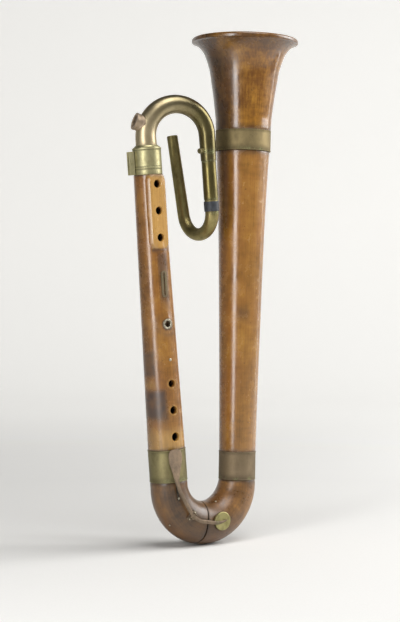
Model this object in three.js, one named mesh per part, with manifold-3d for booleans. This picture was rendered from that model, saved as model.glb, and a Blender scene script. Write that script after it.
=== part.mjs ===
// Upright serpent bass horn: two conical wooden limbs on a U-shaped wooden butt,
// a flared wooden bell, brass ferrules, one long brass key and a brass crook
// with its tuning slide and mouthpipe.
// Millimetres, +Z up, finger holes and key to -Y, the bell limb to +X.

import * as THREE from 'three';
import { mergeVertices } from 'three/addons/utils/BufferGeometryUtils.js';
import Module from 'manifold-3d';

const wasm = await Module();
wasm.setup();

// General clearances and facet counts
const seat = 0.3; // between pieces that touch
const running = 0.12; // round a turning pin
const overrun = 2; // how far a cutter passes its cut
const weld = 0.0001;
const bodySides = 32;
const tubeSides = 20;
const smallSides = 12;
const ringTurn = THREE.MathUtils.degToRad(15); // turn of a bend between two rings

// Butt: two elbows that meet at a seam
const buttRadius = 74.6;
const buttEndRadius = 33.2;
const buttMiddleRadius = 38.7;
const buttBore = 22;
const seamShare = 0.42; // place of the seam on the bend
const seamTenonRadius = 28.5;
const seamTenonLength = 14;
const socketRadius = 28.7;
const socketDepth = 45;
const fingeredLean = THREE.MathUtils.degToRad(4.56);
const belledLean = THREE.MathUtils.degToRad(1.33);
const fingeredButtRise = 69; // from the bend to the fingered limb's shoulder
const belledButtRise = 51.5;

// Butt ferrules
const ferruleWall = 1.3;
const ferruleBead = 0.6;
const beadHeight = 2.4;
const fingeredFerruleHeight = 57;
const belledFerruleHeight = 51;

// Tenons of both limbs and their thread lapping
const tenonRadius = 27;
const tenonLength = 44;
const lappingMargin = 6; // bare tenon at each end of the lapping

// Fingered limb
const fingeredLength = 530;
const fingeredFootRadius = 33;
const fingeredHeadRadius = 26;
const fingeredFootBore = 21.5;
const fingeredHeadBore = 17;
const headTenonRadius = 23.8; // wood inside the top ferrule
const headSocketRadius = 18.6; // takes the crook
const headSocketDepth = 43;

// Finger pad and holes
const padLength = 129;
const padWidth = 30;
const padRise = 0.9; // over the round of the limb
const padChamferWidth = 5;
const padChamferDepth = 6.6;
const padDepth = 12.5;
const padHeadGap = 1.5; // below the top ferrule
const fingerPitch = 47;
const fingerHole = 6.2;
const padHolesRise = 1.7; // middle hole above the middle of the pad
const lowerHoleGrowthShares = [1.1, 1.02, 0.92]; // of the finger hole, foot to head

// Fittings on the fingered limb, and their places from its foot as shares of its length
const fittingShares = { lowerHoles: 0.1317, screw: 0.3, bush: 0.4187, slotPlate: 0.5517 };
const slotPlateLength = 47;
const slotPlateWidth = 11.5;
const slotPlateThickness = 1.6;
const slotLength = 41;
const slotWidth = 2.6;
const bushRadius = 9.2;
const bushHole = 5.3;
const bushDepth = 9;
const bushRise = 1.4;
const limbScrewRadius = 2.6;

// Top ferrule
const topFerruleHeight = 46.6;
const topFerruleWall = 1.1;
const topLipWidth = 4.6;
const topLipThickness = 1.6;
const topBead = 0.7;
const topBeadDrop = 35; // bead below the lip

// Saddle of the vent key
const ventSaddleHeight = 41;
const ventSaddleReach = 9.2;
const ventSaddleWidth = 13;
const ventSaddleWall = 1.6;
const ventSaddleDrop = 5; // below the ferrule's lip
const ventSaddlePin = 1.3;

// Bell limb
const belledLength = 546;
const belledFootRadius = 33.3;
const belledHeadRadius = 48.6;
const belledFootBore = 22.5;
const belledHeadBore = 38;
const belledSwellShares = [
  [0, 0], [0.2, 0.12], [0.4, 0.28], [0.6, 0.45], [0.75, 0.6], [0.87, 0.76], [1, 1],
];
const bellTenonRadius = 44;
const bellTenonLength = 34;
const bellSocketRadius = 45.6;

// Bell ferrule
const bellFerruleHeight = 38;
const bellFerruleWall = 1.2;

// Bell: outer and inner radius against the height, both as shares
const bellHeight = 206;
const bellFootRadius = 49.3;
const bellRimRadius = 97;
const bellBoreRadius = 39.5;
const bellMouthInset = 5.5; // from the rim to the edge of the mouth
const bellFlareShares = [
  [0.2, 0], [0.29, 0.04], [0.4, 0.098], [0.5, 0.155], [0.6, 0.222],
  [0.7, 0.29], [0.765, 0.365], [0.82, 0.445], [0.872, 0.54], [0.92, 0.7], [0.955, 0.88],
];
const bellBoreShares = [
  [0.967, 1], [0.935, 0.84], [0.89, 0.67], [0.83, 0.53],
  [0.75, 0.4], [0.62, 0.28], [0.42, 0.16], [0.19, 0],
];
const bellMouthRadius = bellRimRadius - bellMouthInset;
const bellLipHeight = 8;
const bellLipShares = [[0, 1], [0.3, 1.006], [0.7, 1.004], [1, 0.978], [1, 0.96]];

// Crook
const crookLean = THREE.MathUtils.degToRad(-15.3); // swung to the front
const crookTenonLength = 40;
const crookTenonRadius = 17.4;
const crookRise = 17.5; // straight foot above the ferrule
const archRadius = 57.3;
const crookTail = 46; // straight end below the arch
const crookWall = 1.2;
const crookFootRadius = 18.8;
const crookTaperShares = [[0, 1], [0.38, 0.895], [0.79, 0.79], [1, 0.735]];
const skirtRadius = 24;
const skirtHeight = 4.4;
const ventAngle = THREE.MathUtils.degToRad(22); // up the arch
const ventReach = 25;
const ventRadius = 15;
const ventBore = 10.8;

// Clamp of the tuning slide
const clampBossRadius = 5.4;
const clampBossReach = 16.4;
const clampScrewRadius = 2;
const clampHeadRadius = 4.8;
const clampHeadThickness = 5;
const clampHeadGap = 0.8;
const clampRise = 18; // above the crook's lower end
const clampAzimuth = THREE.MathUtils.degToRad(-155);

// Tuning slide
const slideWall = 0.9;
const slideInserted = 44;
const slideShown = 69;

// Mouthpipe
const mouthpipeAzimuth = THREE.MathUtils.degToRad(109.8); // from the crook's plane
const mouthpipeTenon = 20;
const mouthpipeNeck = 21;
const mouthpipeBend = 40.5;
const mouthpipeSpread = THREE.MathUtils.degToRad(7.2);
const mouthpipeLeg = 147.5;
const mouthpipeFootRadius = 12.2;
const mouthpipeMouthRadius = 9.9;
const mouthpipeBendShare = 0.9; // of the foot radius, at the end of the bend
const mouthpipeWall = 1.2;
const receiverWall = 1.8;
const receiverDepth = 18;
const bandThickness = 1;
const bandDrop = 3.4; // bare tube above the leather band

// Butt key
const keyFace = 43.5; // lever's middle in front of the limbs' plane
const keyThickness = 3;
const leverWidth = 7;
const touchWidth = 28;
const touchLength = 40;
const touchShares = [
  [0, 0.46], [0.06, 0.76], [0.16, 0.93], [0.34, 1],
  [0.56, 0.93], [0.8, 0.74], [1.05, 0.52], [1.3, 0.35],
];
const touchRootShare = 1.6; // where the lever has its own width
const keyTop = [-91.5, 178.5];
const keyTopHeading = THREE.MathUtils.degToRad(-85.5);
const keyStraight = 46;
const keyUpperBend = 75;
const keyUpperTurn = THREE.MathUtils.degToRad(26);
const keyMiddle = 39.5;
const keyLowerBend = 40;
const keyLowerTurn = THREE.MathUtils.degToRad(50);
const keyTail = 23;
const keyEndBend = 50;
const keyEndTurn = THREE.MathUtils.degToRad(24);
const tongueLength = 8;
// Of the tongue's length and the lever's width
const tongueShares = [[-1, 0.98], [-0.3, 0.72], [0.4, 0.42], [1, 0.12]];
const pivotTurnShare = 0.27; // of the lower bend
const pivotHubRadius = 2.9;
const pinRadius = 1.2;
const saddleLength = 9;
const saddleEar = 1.6;
const saddleFoot = 4;
const saddleScrewRadius = 1.5;

// Pad cup over the tone hole
const cupRadius = 16.6;
const cupHeight = 5;
const cupWall = 1.2;
const cupCrownWall = 1.8;
const cupCrownShares = [0.7, 0.4];
const padThickness = 4;
const padRadius = 14.2;
const toneHole = 9;
const padSeatFace = 36.2; // in front of the limbs' plane

// Key spring
const springWidth = 4.6;
const springThickness = 0.8;
const springLength = 40;
const springFoot = [-78, 91];
const springFace = 35.4;
const springTipFace = 40;
const springScrewRadius = 2;

// Plain screws, as place along the bend and place round the tube from inside to outside
const screwDepth = 5;
const buttScrewRadius = 1.8;
const buttScrewHead = 1;
const buttScrewShares = [[0.21, 0.88], [0.62, 0.14]];

const front = -Math.PI / 2;
const up = Math.PI / 2;

// A flat route of straight runs and bends in the XZ plane.
class Route {
  constructor(x, z, heading) {
    this.runs = [];
    this.tip = { x, z, heading };
    this.length = 0;
  }
  add(length, radius, side) {
    this.runs.push({ ...this.tip, from: this.length, to: this.length + length, radius, side });
    this.length += length;
    this.tip = this.at(this.length);
    return this;
  }
  line(length) {
    return this.add(length, 0, 0);
  }
  bend(radius, turn) {
    return this.add(radius * Math.abs(turn), radius, Math.sign(turn));
  }
  at(s) {
    const run = this.runs.find((one) => s <= one.to) ?? this.runs.at(-1);
    const along = s - run.from;
    if (!run.side) {
      const x = run.x + along * Math.cos(run.heading);
      return { x, z: run.z + along * Math.sin(run.heading), heading: run.heading };
    }
    const heading = run.heading + (run.side * along) / run.radius;
    const reach = run.side * run.radius;
    const x = run.x + reach * (Math.sin(heading) - Math.sin(run.heading));
    return { x, z: run.z - reach * (Math.cos(heading) - Math.cos(run.heading)), heading };
  }
}

const upright = new Route(0, 0, up).line(overrun);

// A closed outline of [distance, radius] pairs, swept round a route.
function revolve(outline, sides = bodySides, route = upright) {
  const area = outline.reduce((sum, [s, r], i) => {
    const [nextS, nextR] = outline[(i + 1) % outline.length];
    return sum + s * nextR - nextS * r;
  }, 0);
  const ordered = area < 0 ? [...outline].reverse() : outline;
  const rings = [];
  ordered.forEach(([s, r], i) => {
    const [nextS, nextR] = ordered[(i + 1) % ordered.length];
    const turn = Math.abs(route.at(nextS).heading - route.at(s).heading);
    const parts = Math.max(1, Math.ceil(turn / ringTurn - weld));
    for (let k = 0; k < parts; k++) {
      const share = k / parts;
      rings.push([s + (nextS - s) * share, r + (nextR - r) * share]);
    }
  });
  const points = [];
  for (const [s, r] of rings) {
    const { x, z, heading } = route.at(s);
    for (let k = 0; k < sides; k++) {
      const angle = (k / sides) * Math.PI * 2;
      const out = r * Math.cos(angle);
      points.push(x - out * Math.sin(heading), r * Math.sin(angle), z + out * Math.cos(heading));
    }
  }
  return closed(points, rings.length, sides, true);
}

// Rings of points joined into one closed skin, as a loop of rings or with two end caps.
function closed(points, rings, sides, loop) {
  const faces = [];
  for (let i = 0; i < rings - (loop ? 0 : 1); i++) {
    for (let k = 0; k < sides; k++) {
      const a = i * sides + k;
      const b = i * sides + ((k + 1) % sides);
      const c = ((i + 1) % rings) * sides + k;
      const d = ((i + 1) % rings) * sides + ((k + 1) % sides);
      faces.push(a, b, d, a, d, c);
    }
  }
  if (!loop) {
    const last = (rings - 1) * sides;
    for (let k = 1; k < sides - 1; k++) {
      faces.push(0, k + 1, k, last, last + k, last + k + 1);
    }
  }
  const geometry = new THREE.BufferGeometry();
  geometry.setAttribute('position', new THREE.Float32BufferAttribute(points, 3));
  geometry.setIndex(faces);
  return solid(geometry);
}

// Any closed geometry as a solid that can be joined and cut.
function solid(geometry) {
  const bare = new THREE.BufferGeometry();
  bare.setAttribute('position', geometry.getAttribute('position'));
  bare.setIndex(geometry.index);
  const merged = mergeVertices(bare, weld);
  const corners = merged.index.array;
  const faces = [];
  for (let i = 0; i < corners.length; i += 3) {
    const [a, b, c] = corners.subarray(i, i + 3);
    if (a !== b && b !== c && c !== a) faces.push(a, b, c);
  }
  const skin = { numProp: 3, vertProperties: new Float32Array(merged.attributes.position.array) };
  return new wasm.Manifold(new wasm.Mesh({ ...skin, triVerts: new Uint32Array(faces) }));
}

function geometryOf(shape) {
  const skin = shape.getMesh();
  const geometry = new THREE.BufferGeometry();
  geometry.setAttribute('position', new THREE.Float32BufferAttribute(skin.vertProperties, 3));
  geometry.setIndex(new THREE.Uint32BufferAttribute(skin.triVerts, 1));
  geometry.computeVertexNormals();
  return geometry;
}

// A solid moved by a matrix made of a place and turns.
function placed(shape, x, y, z, turnX = 0, turnY = 0, turnZ = 0) {
  const euler = new THREE.Euler(turnX, turnY, turnZ, 'ZYX');
  const turn = new THREE.Quaternion().setFromEuler(euler);
  const place = new THREE.Vector3(x, y, z);
  const matrix = new THREE.Matrix4().compose(place, turn, new THREE.Vector3(1, 1, 1));
  return solid(geometryOf(shape).applyMatrix4(matrix));
}

const rod = (radius, from, to, sides = smallSides) =>
  revolve([[from, 0], [from, radius], [to, radius], [to, 0]], sides);
const ring = (inner, outer, from, to, sides = bodySides) =>
  revolve([[from, inner], [from, outer], [to, outer], [to, inner]], sides);

// A rod that stands out to the front, from one distance to another.
const frontRod = (radius, from, to, x, z, sides = smallSides) =>
  placed(rod(radius, from, to, sides), x, 0, z, up);

const finishes = {
  wood: new THREE.MeshStandardMaterial({ color: '#8a4a1f', roughness: 0.38, metalness: 0 }),
  brass: new THREE.MeshStandardMaterial({ color: '#b3a06a', roughness: 0.32, metalness: 1 }),
  oldBrass: new THREE.MeshStandardMaterial({ color: '#8c7a45', roughness: 0.4, metalness: 1 }),
  steel: new THREE.MeshStandardMaterial({ color: '#55534e', roughness: 0.45, metalness: 1 }),
  leather: new THREE.MeshStandardMaterial({ color: '#33343a', roughness: 0.8, metalness: 0 }),
  thread: new THREE.MeshStandardMaterial({ color: '#9c8860', roughness: 0.9, metalness: 0 }),
};

function piece(parent, name, shape, finish) {
  const mesh = new THREE.Mesh(geometryOf(shape), finishes[finish].clone());
  mesh.name = name;
  parent.add(mesh);
  return mesh;
}

// Frames: the horn, its two leaning limbs, and the crook's chain
const horn = new THREE.Group();
const buttCentre = buttRadius + buttMiddleRadius;
const fingered = new THREE.Group();
fingered.position.set(
  -buttRadius * Math.cos(fingeredLean), 0, buttCentre - buttRadius * Math.sin(fingeredLean),
);
fingered.rotation.y = -fingeredLean;
const belled = new THREE.Group();
belled.position.set(
  buttRadius * Math.cos(belledLean), 0, buttCentre - buttRadius * Math.sin(belledLean),
);
belled.rotation.y = belledLean;
horn.add(fingered, belled);

// Butt elbows, drawn along one route from shoulder to shoulder
const footX = -buttRadius * Math.cos(fingeredLean) - fingeredButtRise * Math.sin(fingeredLean);
const socketRise = fingeredButtRise * Math.cos(fingeredLean);
const footZ = buttCentre - buttRadius * Math.sin(fingeredLean) + socketRise;
const buttTurn = Math.PI - fingeredLean - belledLean;
const buttRoute = new Route(footX, footZ, fingeredLean - up)
  .line(fingeredButtRise)
  .bend(buttRadius, buttTurn)
  .line(belledButtRise);
const buttLength = buttRoute.length;
const bendLength = buttRadius * buttTurn;
const seamAt = fingeredButtRise + bendLength * seamShare;
const ferruleSeatRadius = buttEndRadius - ferruleWall + seat;

function buttRadiusAt(s) {
  const share = THREE.MathUtils.clamp((s - fingeredButtRise) / bendLength, 0, 1);
  return buttEndRadius + (buttMiddleRadius - buttEndRadius) * Math.sin(Math.PI * share);
}
function buttOutline(from, to, grow) {
  const steps = Math.ceil((to - from) / (buttRadius * ringTurn));
  return Array.from({ length: steps + 1 }, (_, i) => {
    const s = from + ((to - from) * i) / steps;
    return [s, buttRadiusAt(s) + grow];
  });
}
const buttSkin = (grow) => {
  const wood = buttOutline(fingeredFerruleHeight, buttLength - belledFerruleHeight, grow);
  return revolve([[wood[0][0], 0], ...wood, [wood.at(-1)[0], 0]], bodySides, buttRoute);
};

// Cuts shared by both elbows: pad seat, tone hole, screw holes and flat under the saddle
const keyRoute = new Route(...keyTop, keyTopHeading)
  .line(keyStraight)
  .bend(keyUpperBend, keyUpperTurn)
  .line(keyMiddle)
  .bend(keyLowerBend, keyLowerTurn)
  .line(keyTail)
  .bend(keyEndBend, keyEndTurn);
const lowerBendAt = keyStraight + keyUpperBend * keyUpperTurn + keyMiddle;
const pivotAt = lowerBendAt + keyLowerBend * keyLowerTurn * pivotTurnShare;
const pivot = keyRoute.at(pivotAt);
const cup = keyRoute.at(keyRoute.length);
const buttCuts = [
  frontRod(cupRadius + seat + saddleEar, padSeatFace, keyFace, cup.x, cup.z, tubeSides),
  frontRod(toneHole, 0, keyFace, cup.x, cup.z, tubeSides),
];
const screwShank = 0.6; // share of the head's radius
const alongButt = (shape, s, side) => {
  const { x, z, heading } = buttRoute.at(s);
  return placed(shape, x, 0, z, up + side, -heading);
};
const buttScrews = buttScrewShares.map(([along, round]) => {
  const s = fingeredButtRise + bendLength * along;
  return { s, side: (round * 2 - 1) * up, face: buttRadiusAt(s) + seat };
});
for (const { s, side, face } of buttScrews) {
  const shank = buttScrewRadius * screwShank + running;
  buttCuts.push(alongButt(rod(shank, face - screwDepth - seat, face + overrun), s, side));
}
const springShank = springScrewRadius * screwShank + running;
buttCuts.push(frontRod(springShank, springFace - screwDepth, springFace + overrun, ...springFoot));

const cutAll = (shape, cutters) => cutters.reduce((left, cutter) => left.subtract(cutter), shape);

const seamEdge = [seamAt, buttRadiusAt(seamAt)];
const fingeredElbow = revolve([
  [0, ferruleSeatRadius - seat],
  [fingeredFerruleHeight, ferruleSeatRadius - seat],
  ...buttOutline(fingeredFerruleHeight + seat, seamAt, 0),
  [seamAt, seamTenonRadius],
  [seamAt + seamTenonLength, seamTenonRadius],
  [seamAt + seamTenonLength, buttBore],
  [socketDepth, buttBore],
  [socketDepth, socketRadius],
  [0, socketRadius],
], bodySides, buttRoute);
const belledElbow = revolve([
  [buttLength, ferruleSeatRadius - seat],
  [buttLength - belledFerruleHeight, ferruleSeatRadius - seat],
  ...buttOutline(seamAt + seat, buttLength - belledFerruleHeight - seat, 0).reverse(),
  [seamAt + seat, seamTenonRadius + seat],
  [seamAt + seamTenonLength + seat, seamTenonRadius + seat],
  [seamAt + seamTenonLength + seat, buttBore],
  [buttLength - socketDepth, buttBore],
  [buttLength - socketDepth, socketRadius],
  [buttLength, socketRadius],
], bodySides, buttRoute);

// A ferrule with a bead at each end
function ferrule(inner, wall, bead, height, foot) {
  const outer = inner + wall;
  return revolve([
    [foot, inner],
    [foot, outer],
    [foot + beadHeight / 2, outer + bead],
    [foot + beadHeight, outer],
    [foot + height - beadHeight, outer],
    [foot + height - beadHeight / 2, outer + bead],
    [foot + height, outer],
    [foot + height, inner],
  ]);
}
const fingeredFerruleFoot = fingeredButtRise - fingeredFerruleHeight;
const belledFerruleFoot = belledButtRise - belledFerruleHeight;
const buttFerruleInner = ferruleSeatRadius;
piece(fingered, 'fingered_butt_ferrule',
  ferrule(buttFerruleInner, ferruleWall, ferruleBead, fingeredFerruleHeight, fingeredFerruleFoot), 'brass');
piece(belled, 'belled_butt_ferrule',
  ferrule(buttFerruleInner, ferruleWall, ferruleBead, belledFerruleHeight, belledFerruleFoot), 'brass');

// Fingered limb: a cone with tenons, a finger pad and its holes
const fingeredShoulder = fingeredButtRise + seat;
const fingeredHead = fingeredShoulder + fingeredLength;
const topFerruleFoot = fingeredHead - topFerruleHeight + topLipThickness + seat;
const socketFloor = fingeredHead - headSocketDepth;
function fingeredRadiusAt(s) {
  const share = (s - fingeredShoulder) / (topFerruleFoot - fingeredShoulder);
  return fingeredFootRadius + (fingeredHeadRadius - fingeredFootRadius) * share;
}
const limbFoot = fingeredShoulder - tenonLength;
let fingeredLimb = revolve([
  [limbFoot, fingeredFootBore],
  [limbFoot, tenonRadius],
  [fingeredShoulder, tenonRadius],
  [fingeredShoulder, fingeredFootRadius],
  [topFerruleFoot - seat, fingeredHeadRadius],
  [topFerruleFoot - seat, headTenonRadius],
  [fingeredHead, headTenonRadius],
  [fingeredHead, headSocketRadius],
  [socketFloor, headSocketRadius],
  [socketFloor, fingeredHeadBore],
]);

const fittingHeight = (share) => fingeredShoulder + fingeredLength * share;
const lowerHolesHeight = fittingHeight(fittingShares.lowerHoles);
const limbScrewHeight = fittingHeight(fittingShares.screw);
const bushHeight = fittingHeight(fittingShares.bush);
const slotPlateHeight = fittingHeight(fittingShares.slotPlate);
const padHead = topFerruleFoot - padHeadGap;
const padFoot = padHead - padLength;
const upperHolesHeight = (padHead + padFoot) / 2 + padHolesRise;
const padLean = Math.atan2(fingeredFootRadius - fingeredHeadRadius, fingeredLength);
function stadium(width, length) {
  const half = width / 2;
  const shape = new THREE.Shape();
  shape.absarc(0, length / 2 - half, half, 0, Math.PI);
  shape.absarc(0, half - length / 2, half, Math.PI, Math.PI * 2);
  shape.closePath();
  return shape;
}
const padFace = fingeredRadiusAt((padHead + padFoot) / 2) + padRise;
const facing = (outline, options, x, z, back, lean = 0) => {
  const block = new THREE.ExtrudeGeometry(outline, { curveSegments: smallSides / 2, ...options });
  return placed(solid(block), x, -back, z, up + lean);
};
const padChamfer = { bevelSize: padChamferWidth, bevelThickness: padChamferDepth, bevelSegments: 1 };
const padBlock = facing(
  stadium(padWidth, padLength), { depth: padDepth - padChamferDepth, ...padChamfer },
  0, (padHead + padFoot) / 2, padFace - padDepth, padLean,
);
const fingerHoles = [];
[-1, 0, 1].forEach((step, i) => {
  const drill = (radius, z) => frontRod(radius, 0, padFace + padDepth, 0, z, tubeSides);
  fingerHoles.push(drill(fingerHole, upperHolesHeight + step * fingerPitch));
  fingerHoles.push(drill(fingerHole * lowerHoleGrowthShares[i], lowerHolesHeight + step * fingerPitch));
});
const plateFace = fingeredRadiusAt(slotPlateHeight);
const plateFloor = plateFace - slotPlateThickness;
const plateDepth = { depth: slotPlateThickness, bevelEnabled: false };
const plateSeat = facing(
  stadium(slotPlateWidth + seat * 2, slotPlateLength + seat * 2),
  { depth: slotPlateThickness + padDepth, bevelEnabled: false },
  0, slotPlateHeight, plateFloor - seat, padLean,
);
const slotOutline = stadium(slotPlateWidth, slotPlateLength);
slotOutline.holes.push(new THREE.Path(stadium(slotWidth, slotLength).getPoints(smallSides / 2)));
const slotPlate = facing(slotOutline, plateDepth, 0, slotPlateHeight, plateFloor, padLean);
piece(fingered, 'slot_plate', slotPlate, 'oldBrass');

const bushFace = fingeredRadiusAt(bushHeight) + bushRise;
const bushFloor = bushFace - bushDepth;
const bushSeat = frontRod(
  bushRadius + seat, bushFloor - seat, bushFace + overrun, 0, bushHeight, tubeSides,
);
piece(fingered, 'tone_hole_bush', placed(revolve([
  [bushFloor, bushHole],
  [bushFloor, bushRadius],
  [bushFace - bushRise / 2, bushRadius],
  [bushFace, bushRadius - bushRise / 2],
  [bushFace, bushHole + bushRise],
  [bushFace - bushRise / 2, bushHole],
], tubeSides), 0, 0, bushHeight, up), 'brass');
const bushBore = frontRod(bushHole, 0, bushFloor, 0, bushHeight, tubeSides);

// A screw with a low domed head, seen from its head
function screw(radius, depth, head, face) {
  return revolve([
    [face - depth, 0],
    [face - depth, radius * screwShank],
    [face, radius * screwShank],
    [face, radius],
    [face + head / 2, radius],
    [face + head, radius * screwShank],
    [face + head, 0],
  ], smallSides);
}
const limbScrewFace = fingeredRadiusAt(limbScrewHeight) + seat / 2;
const limbScrew = screw(limbScrewRadius, screwDepth, buttScrewHead, limbScrewFace);
piece(fingered, 'limb_screw', placed(limbScrew, 0, 0, limbScrewHeight, up), 'steel');
const limbScrewHole = frontRod(
  limbScrewRadius * screwShank + running, limbScrewFace - screwDepth - seat,
  limbScrewFace + overrun, 0, limbScrewHeight,
);

const fingeredBore = revolve([
  [limbFoot - overrun, 0],
  [limbFoot - overrun, fingeredFootBore],
  [limbFoot, fingeredFootBore],
  [socketFloor, fingeredHeadBore],
  [socketFloor, headSocketRadius],
  [fingeredHead + overrun, headSocketRadius],
  [fingeredHead + overrun, 0],
]);
const ferruleZone = rod(padFace + padDepth, topFerruleFoot - seat, fingeredHead, bodySides);
fingeredLimb = cutAll(fingeredLimb.add(cutAll(padBlock, [fingeredBore, ferruleZone])), [
  ...fingerHoles, plateSeat, bushSeat, bushBore, limbScrewHole,
]);
piece(fingered, 'fingered_limb', fingeredLimb, 'wood');

const lapping = (foot, height, inner, outer) =>
  ring(inner + seat, outer - seat, foot + lappingMargin, foot + height - lappingMargin);
const fingeredLapping = lapping(limbFoot, tenonLength, tenonRadius, socketRadius);
piece(fingered, 'fingered_tenon_lapping', fingeredLapping, 'thread');

// Top ferrule with its lip over the wood's end and a bead near its foot
const topInner = headTenonRadius + seat;
const topOuter = topInner + topFerruleWall;
const topFerruleHead = topFerruleFoot + topFerruleHeight;
const topBeadAt = topFerruleHead - topBeadDrop;
piece(fingered, 'top_ferrule', revolve([
  [topFerruleFoot, topInner],
  [topFerruleFoot, topOuter],
  [topBeadAt - beadHeight / 2, topOuter],
  [topBeadAt, topOuter + topBead],
  [topBeadAt + beadHeight / 2, topOuter],
  [topFerruleHead - beadHeight, topOuter],
  [topFerruleHead - beadHeight, topOuter + topBead],
  [topFerruleHead, topOuter + topBead],
  [topFerruleHead, topOuter - topLipWidth],
  [topFerruleHead - topLipThickness, topOuter - topLipWidth],
  [topFerruleHead - topLipThickness, topInner],
]), 'brass');

// Saddle of the vent key: a foot on the ferrule and two drilled ears
const crook = new THREE.Group();
crook.position.z = topFerruleHead + seat;
crook.rotation.z = crookLean;
fingered.add(crook);
const box = (x, y, z, width, depth, height) =>
  placed(solid(new THREE.BoxGeometry(width, depth, height)), x, y, z);
const ventSaddleHead = -ventSaddleDrop - seat;
const ventSaddleMiddle = ventSaddleHead - ventSaddleHeight / 2;
const ventSaddleFoot = topOuter + topBead + seat;
const ventSaddleTip = ventSaddleFoot + ventSaddleReach;
const ventEar = (side) => box(
  -(ventSaddleTip + topInner) / 2, (side * (ventSaddleWidth - ventSaddleWall)) / 2, ventSaddleMiddle,
  ventSaddleTip - topInner, ventSaddleWall, ventSaddleHeight,
);
const ventSole = box(
  -(ventSaddleFoot + ventSaddleWall + topInner) / 2, 0, ventSaddleMiddle,
  ventSaddleFoot + ventSaddleWall - topInner, ventSaddleWidth, ventSaddleHeight,
);
const ventPinHole = placed(
  rod(ventSaddlePin, -ventSaddleWidth, ventSaddleWidth),
  -ventSaddleFoot - ventSaddleReach / 2, 0, ventSaddleMiddle, up,
);
const ventRound = rod(
  ventSaddleFoot, ventSaddleHead - ventSaddleHeight - overrun, ventSaddleHead + overrun, bodySides,
);
const ventSaddle = cutAll(ventEar(-1).add(ventEar(1)).add(ventSole), [ventRound, ventPinHole]);
piece(crook, 'vent_key_saddle', ventSaddle, 'brass');

// Bell limb: a slow swell, with a tenon at each end
const belledShoulder = belledButtRise + seat;
const belledHead = belledShoulder + belledLength;
const belledFoot = belledShoulder - tenonLength;
const belledTop = belledHead + bellTenonLength;
piece(belled, 'bell_limb', revolve([
  [belledFoot, belledFootBore],
  [belledFoot, tenonRadius],
  [belledShoulder, tenonRadius],
  ...belledSwellShares.map(([rise, swell]) => [
    belledShoulder + belledLength * rise, belledFootRadius + (belledHeadRadius - belledFootRadius) * swell,
  ]),
  [belledHead, bellTenonRadius],
  [belledTop, bellTenonRadius],
  [belledTop, belledHeadBore],
]), 'wood');
const belledLapping = lapping(belledFoot, tenonLength, tenonRadius, socketRadius);
piece(belled, 'belled_tenon_lapping', belledLapping, 'thread');
const bellLapping = lapping(belledHead, bellTenonLength, bellTenonRadius, bellSocketRadius);
piece(belled, 'bell_tenon_lapping', bellLapping, 'thread');
const bellFerrule = ferrule(
  bellFootRadius, bellFerruleWall, ferruleBead, bellFerruleHeight, belledHead + seat,
);
piece(belled, 'bell_ferrule', bellFerrule, 'brass');

// Bell: a flared shell turned with a rolled lip
const bellFoot = belledHead + seat;
const bellSocketFloor = belledTop + seat;
const flareHeight = bellHeight - bellLipHeight;
const lipFoot = bellFoot + flareHeight;
const flareRadius = (share) => bellFootRadius + (bellRimRadius - bellFootRadius) * share;
const boreRadius = (share) => bellBoreRadius + (bellMouthRadius - bellBoreRadius) * share;
piece(belled, 'bell', revolve([
  [bellFoot, bellSocketRadius],
  [bellFoot, bellFootRadius - seat],
  [bellFoot + bellFerruleHeight + seat, bellFootRadius - seat],
  [bellFoot + bellFerruleHeight + seat, bellFootRadius + bellFerruleWall],
  ...bellFlareShares.slice(1).map(([rise, flare]) => [bellFoot + bellHeight * rise, flareRadius(flare)]),
  ...bellLipShares.map(([rise, reach]) => [lipFoot + bellLipHeight * rise, bellRimRadius * reach]),
  ...bellBoreShares.map(([rise, flare]) => [bellFoot + bellHeight * rise, boreRadius(flare)]),
  [bellSocketFloor, bellBoreRadius],
  [bellSocketFloor, bellSocketRadius],
]), 'wood');

// Crook: tenon, straight foot, half-circle arch and straight tail, tapering all the way
const crookRoute = new Route(0, -crookTenonLength, up)
  .line(crookTenonLength + crookRise)
  .bend(archRadius, -Math.PI)
  .line(crookTail);
const crookStart = crookTenonLength;
const crookEnd = crookRoute.length;
const slideRadius = crookFootRadius * crookTaperShares.at(-1)[1] - slideWall;
const slideSocket = slideRadius + seat;
const crookSkin = (grow) => crookTaperShares.map(([along, taper]) => [
  crookStart + (crookEnd - crookStart) * along, crookFootRadius * taper + grow,
]);
const archEnd = crookEnd - crookTail;
const ventAt = crookTenonLength + crookRise + archRadius * ventAngle;
const ventPlace = crookRoute.at(ventAt);
const alongVent = (shape) => placed(shape, ventPlace.x, 0, ventPlace.z, 0, -ventPlace.heading);
const clampPlace = crookRoute.at(crookEnd - clampRise);
const alongClamp = (shape) => placed(shape, clampPlace.x, 0, clampPlace.z, 0, up, clampAzimuth);
const crookShell = revolve([
  [0, crookTenonRadius - crookWall],
  [0, crookTenonRadius],
  [crookStart, crookTenonRadius],
  ...crookSkin(0),
  [crookEnd, slideSocket],
  [archEnd, slideSocket],
  ...crookSkin(-crookWall).reverse().slice(1, -1),
  [crookStart, crookTenonRadius - crookWall],
], tubeSides, crookRoute);
const grownCrook = revolve([
  [crookStart - overrun, 0], ...crookSkin(seat), [crookEnd, 0],
], tubeSides, crookRoute);
piece(crook, 'crook', cutAll(crookShell, [
  alongVent(rod(ventBore, 0, ventReach, tubeSides)),
  alongClamp(rod(clampScrewRadius + seat, 0, clampBossReach, smallSides)),
]), 'brass');
piece(crook, 'crook_skirt', revolve([
  [0, crookFootRadius + seat],
  [0, skirtRadius],
  [skirtHeight / 4, skirtRadius],
  [skirtHeight, crookFootRadius + crookWall + seat],
  [skirtHeight, crookFootRadius + seat],
]), 'brass');
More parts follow.
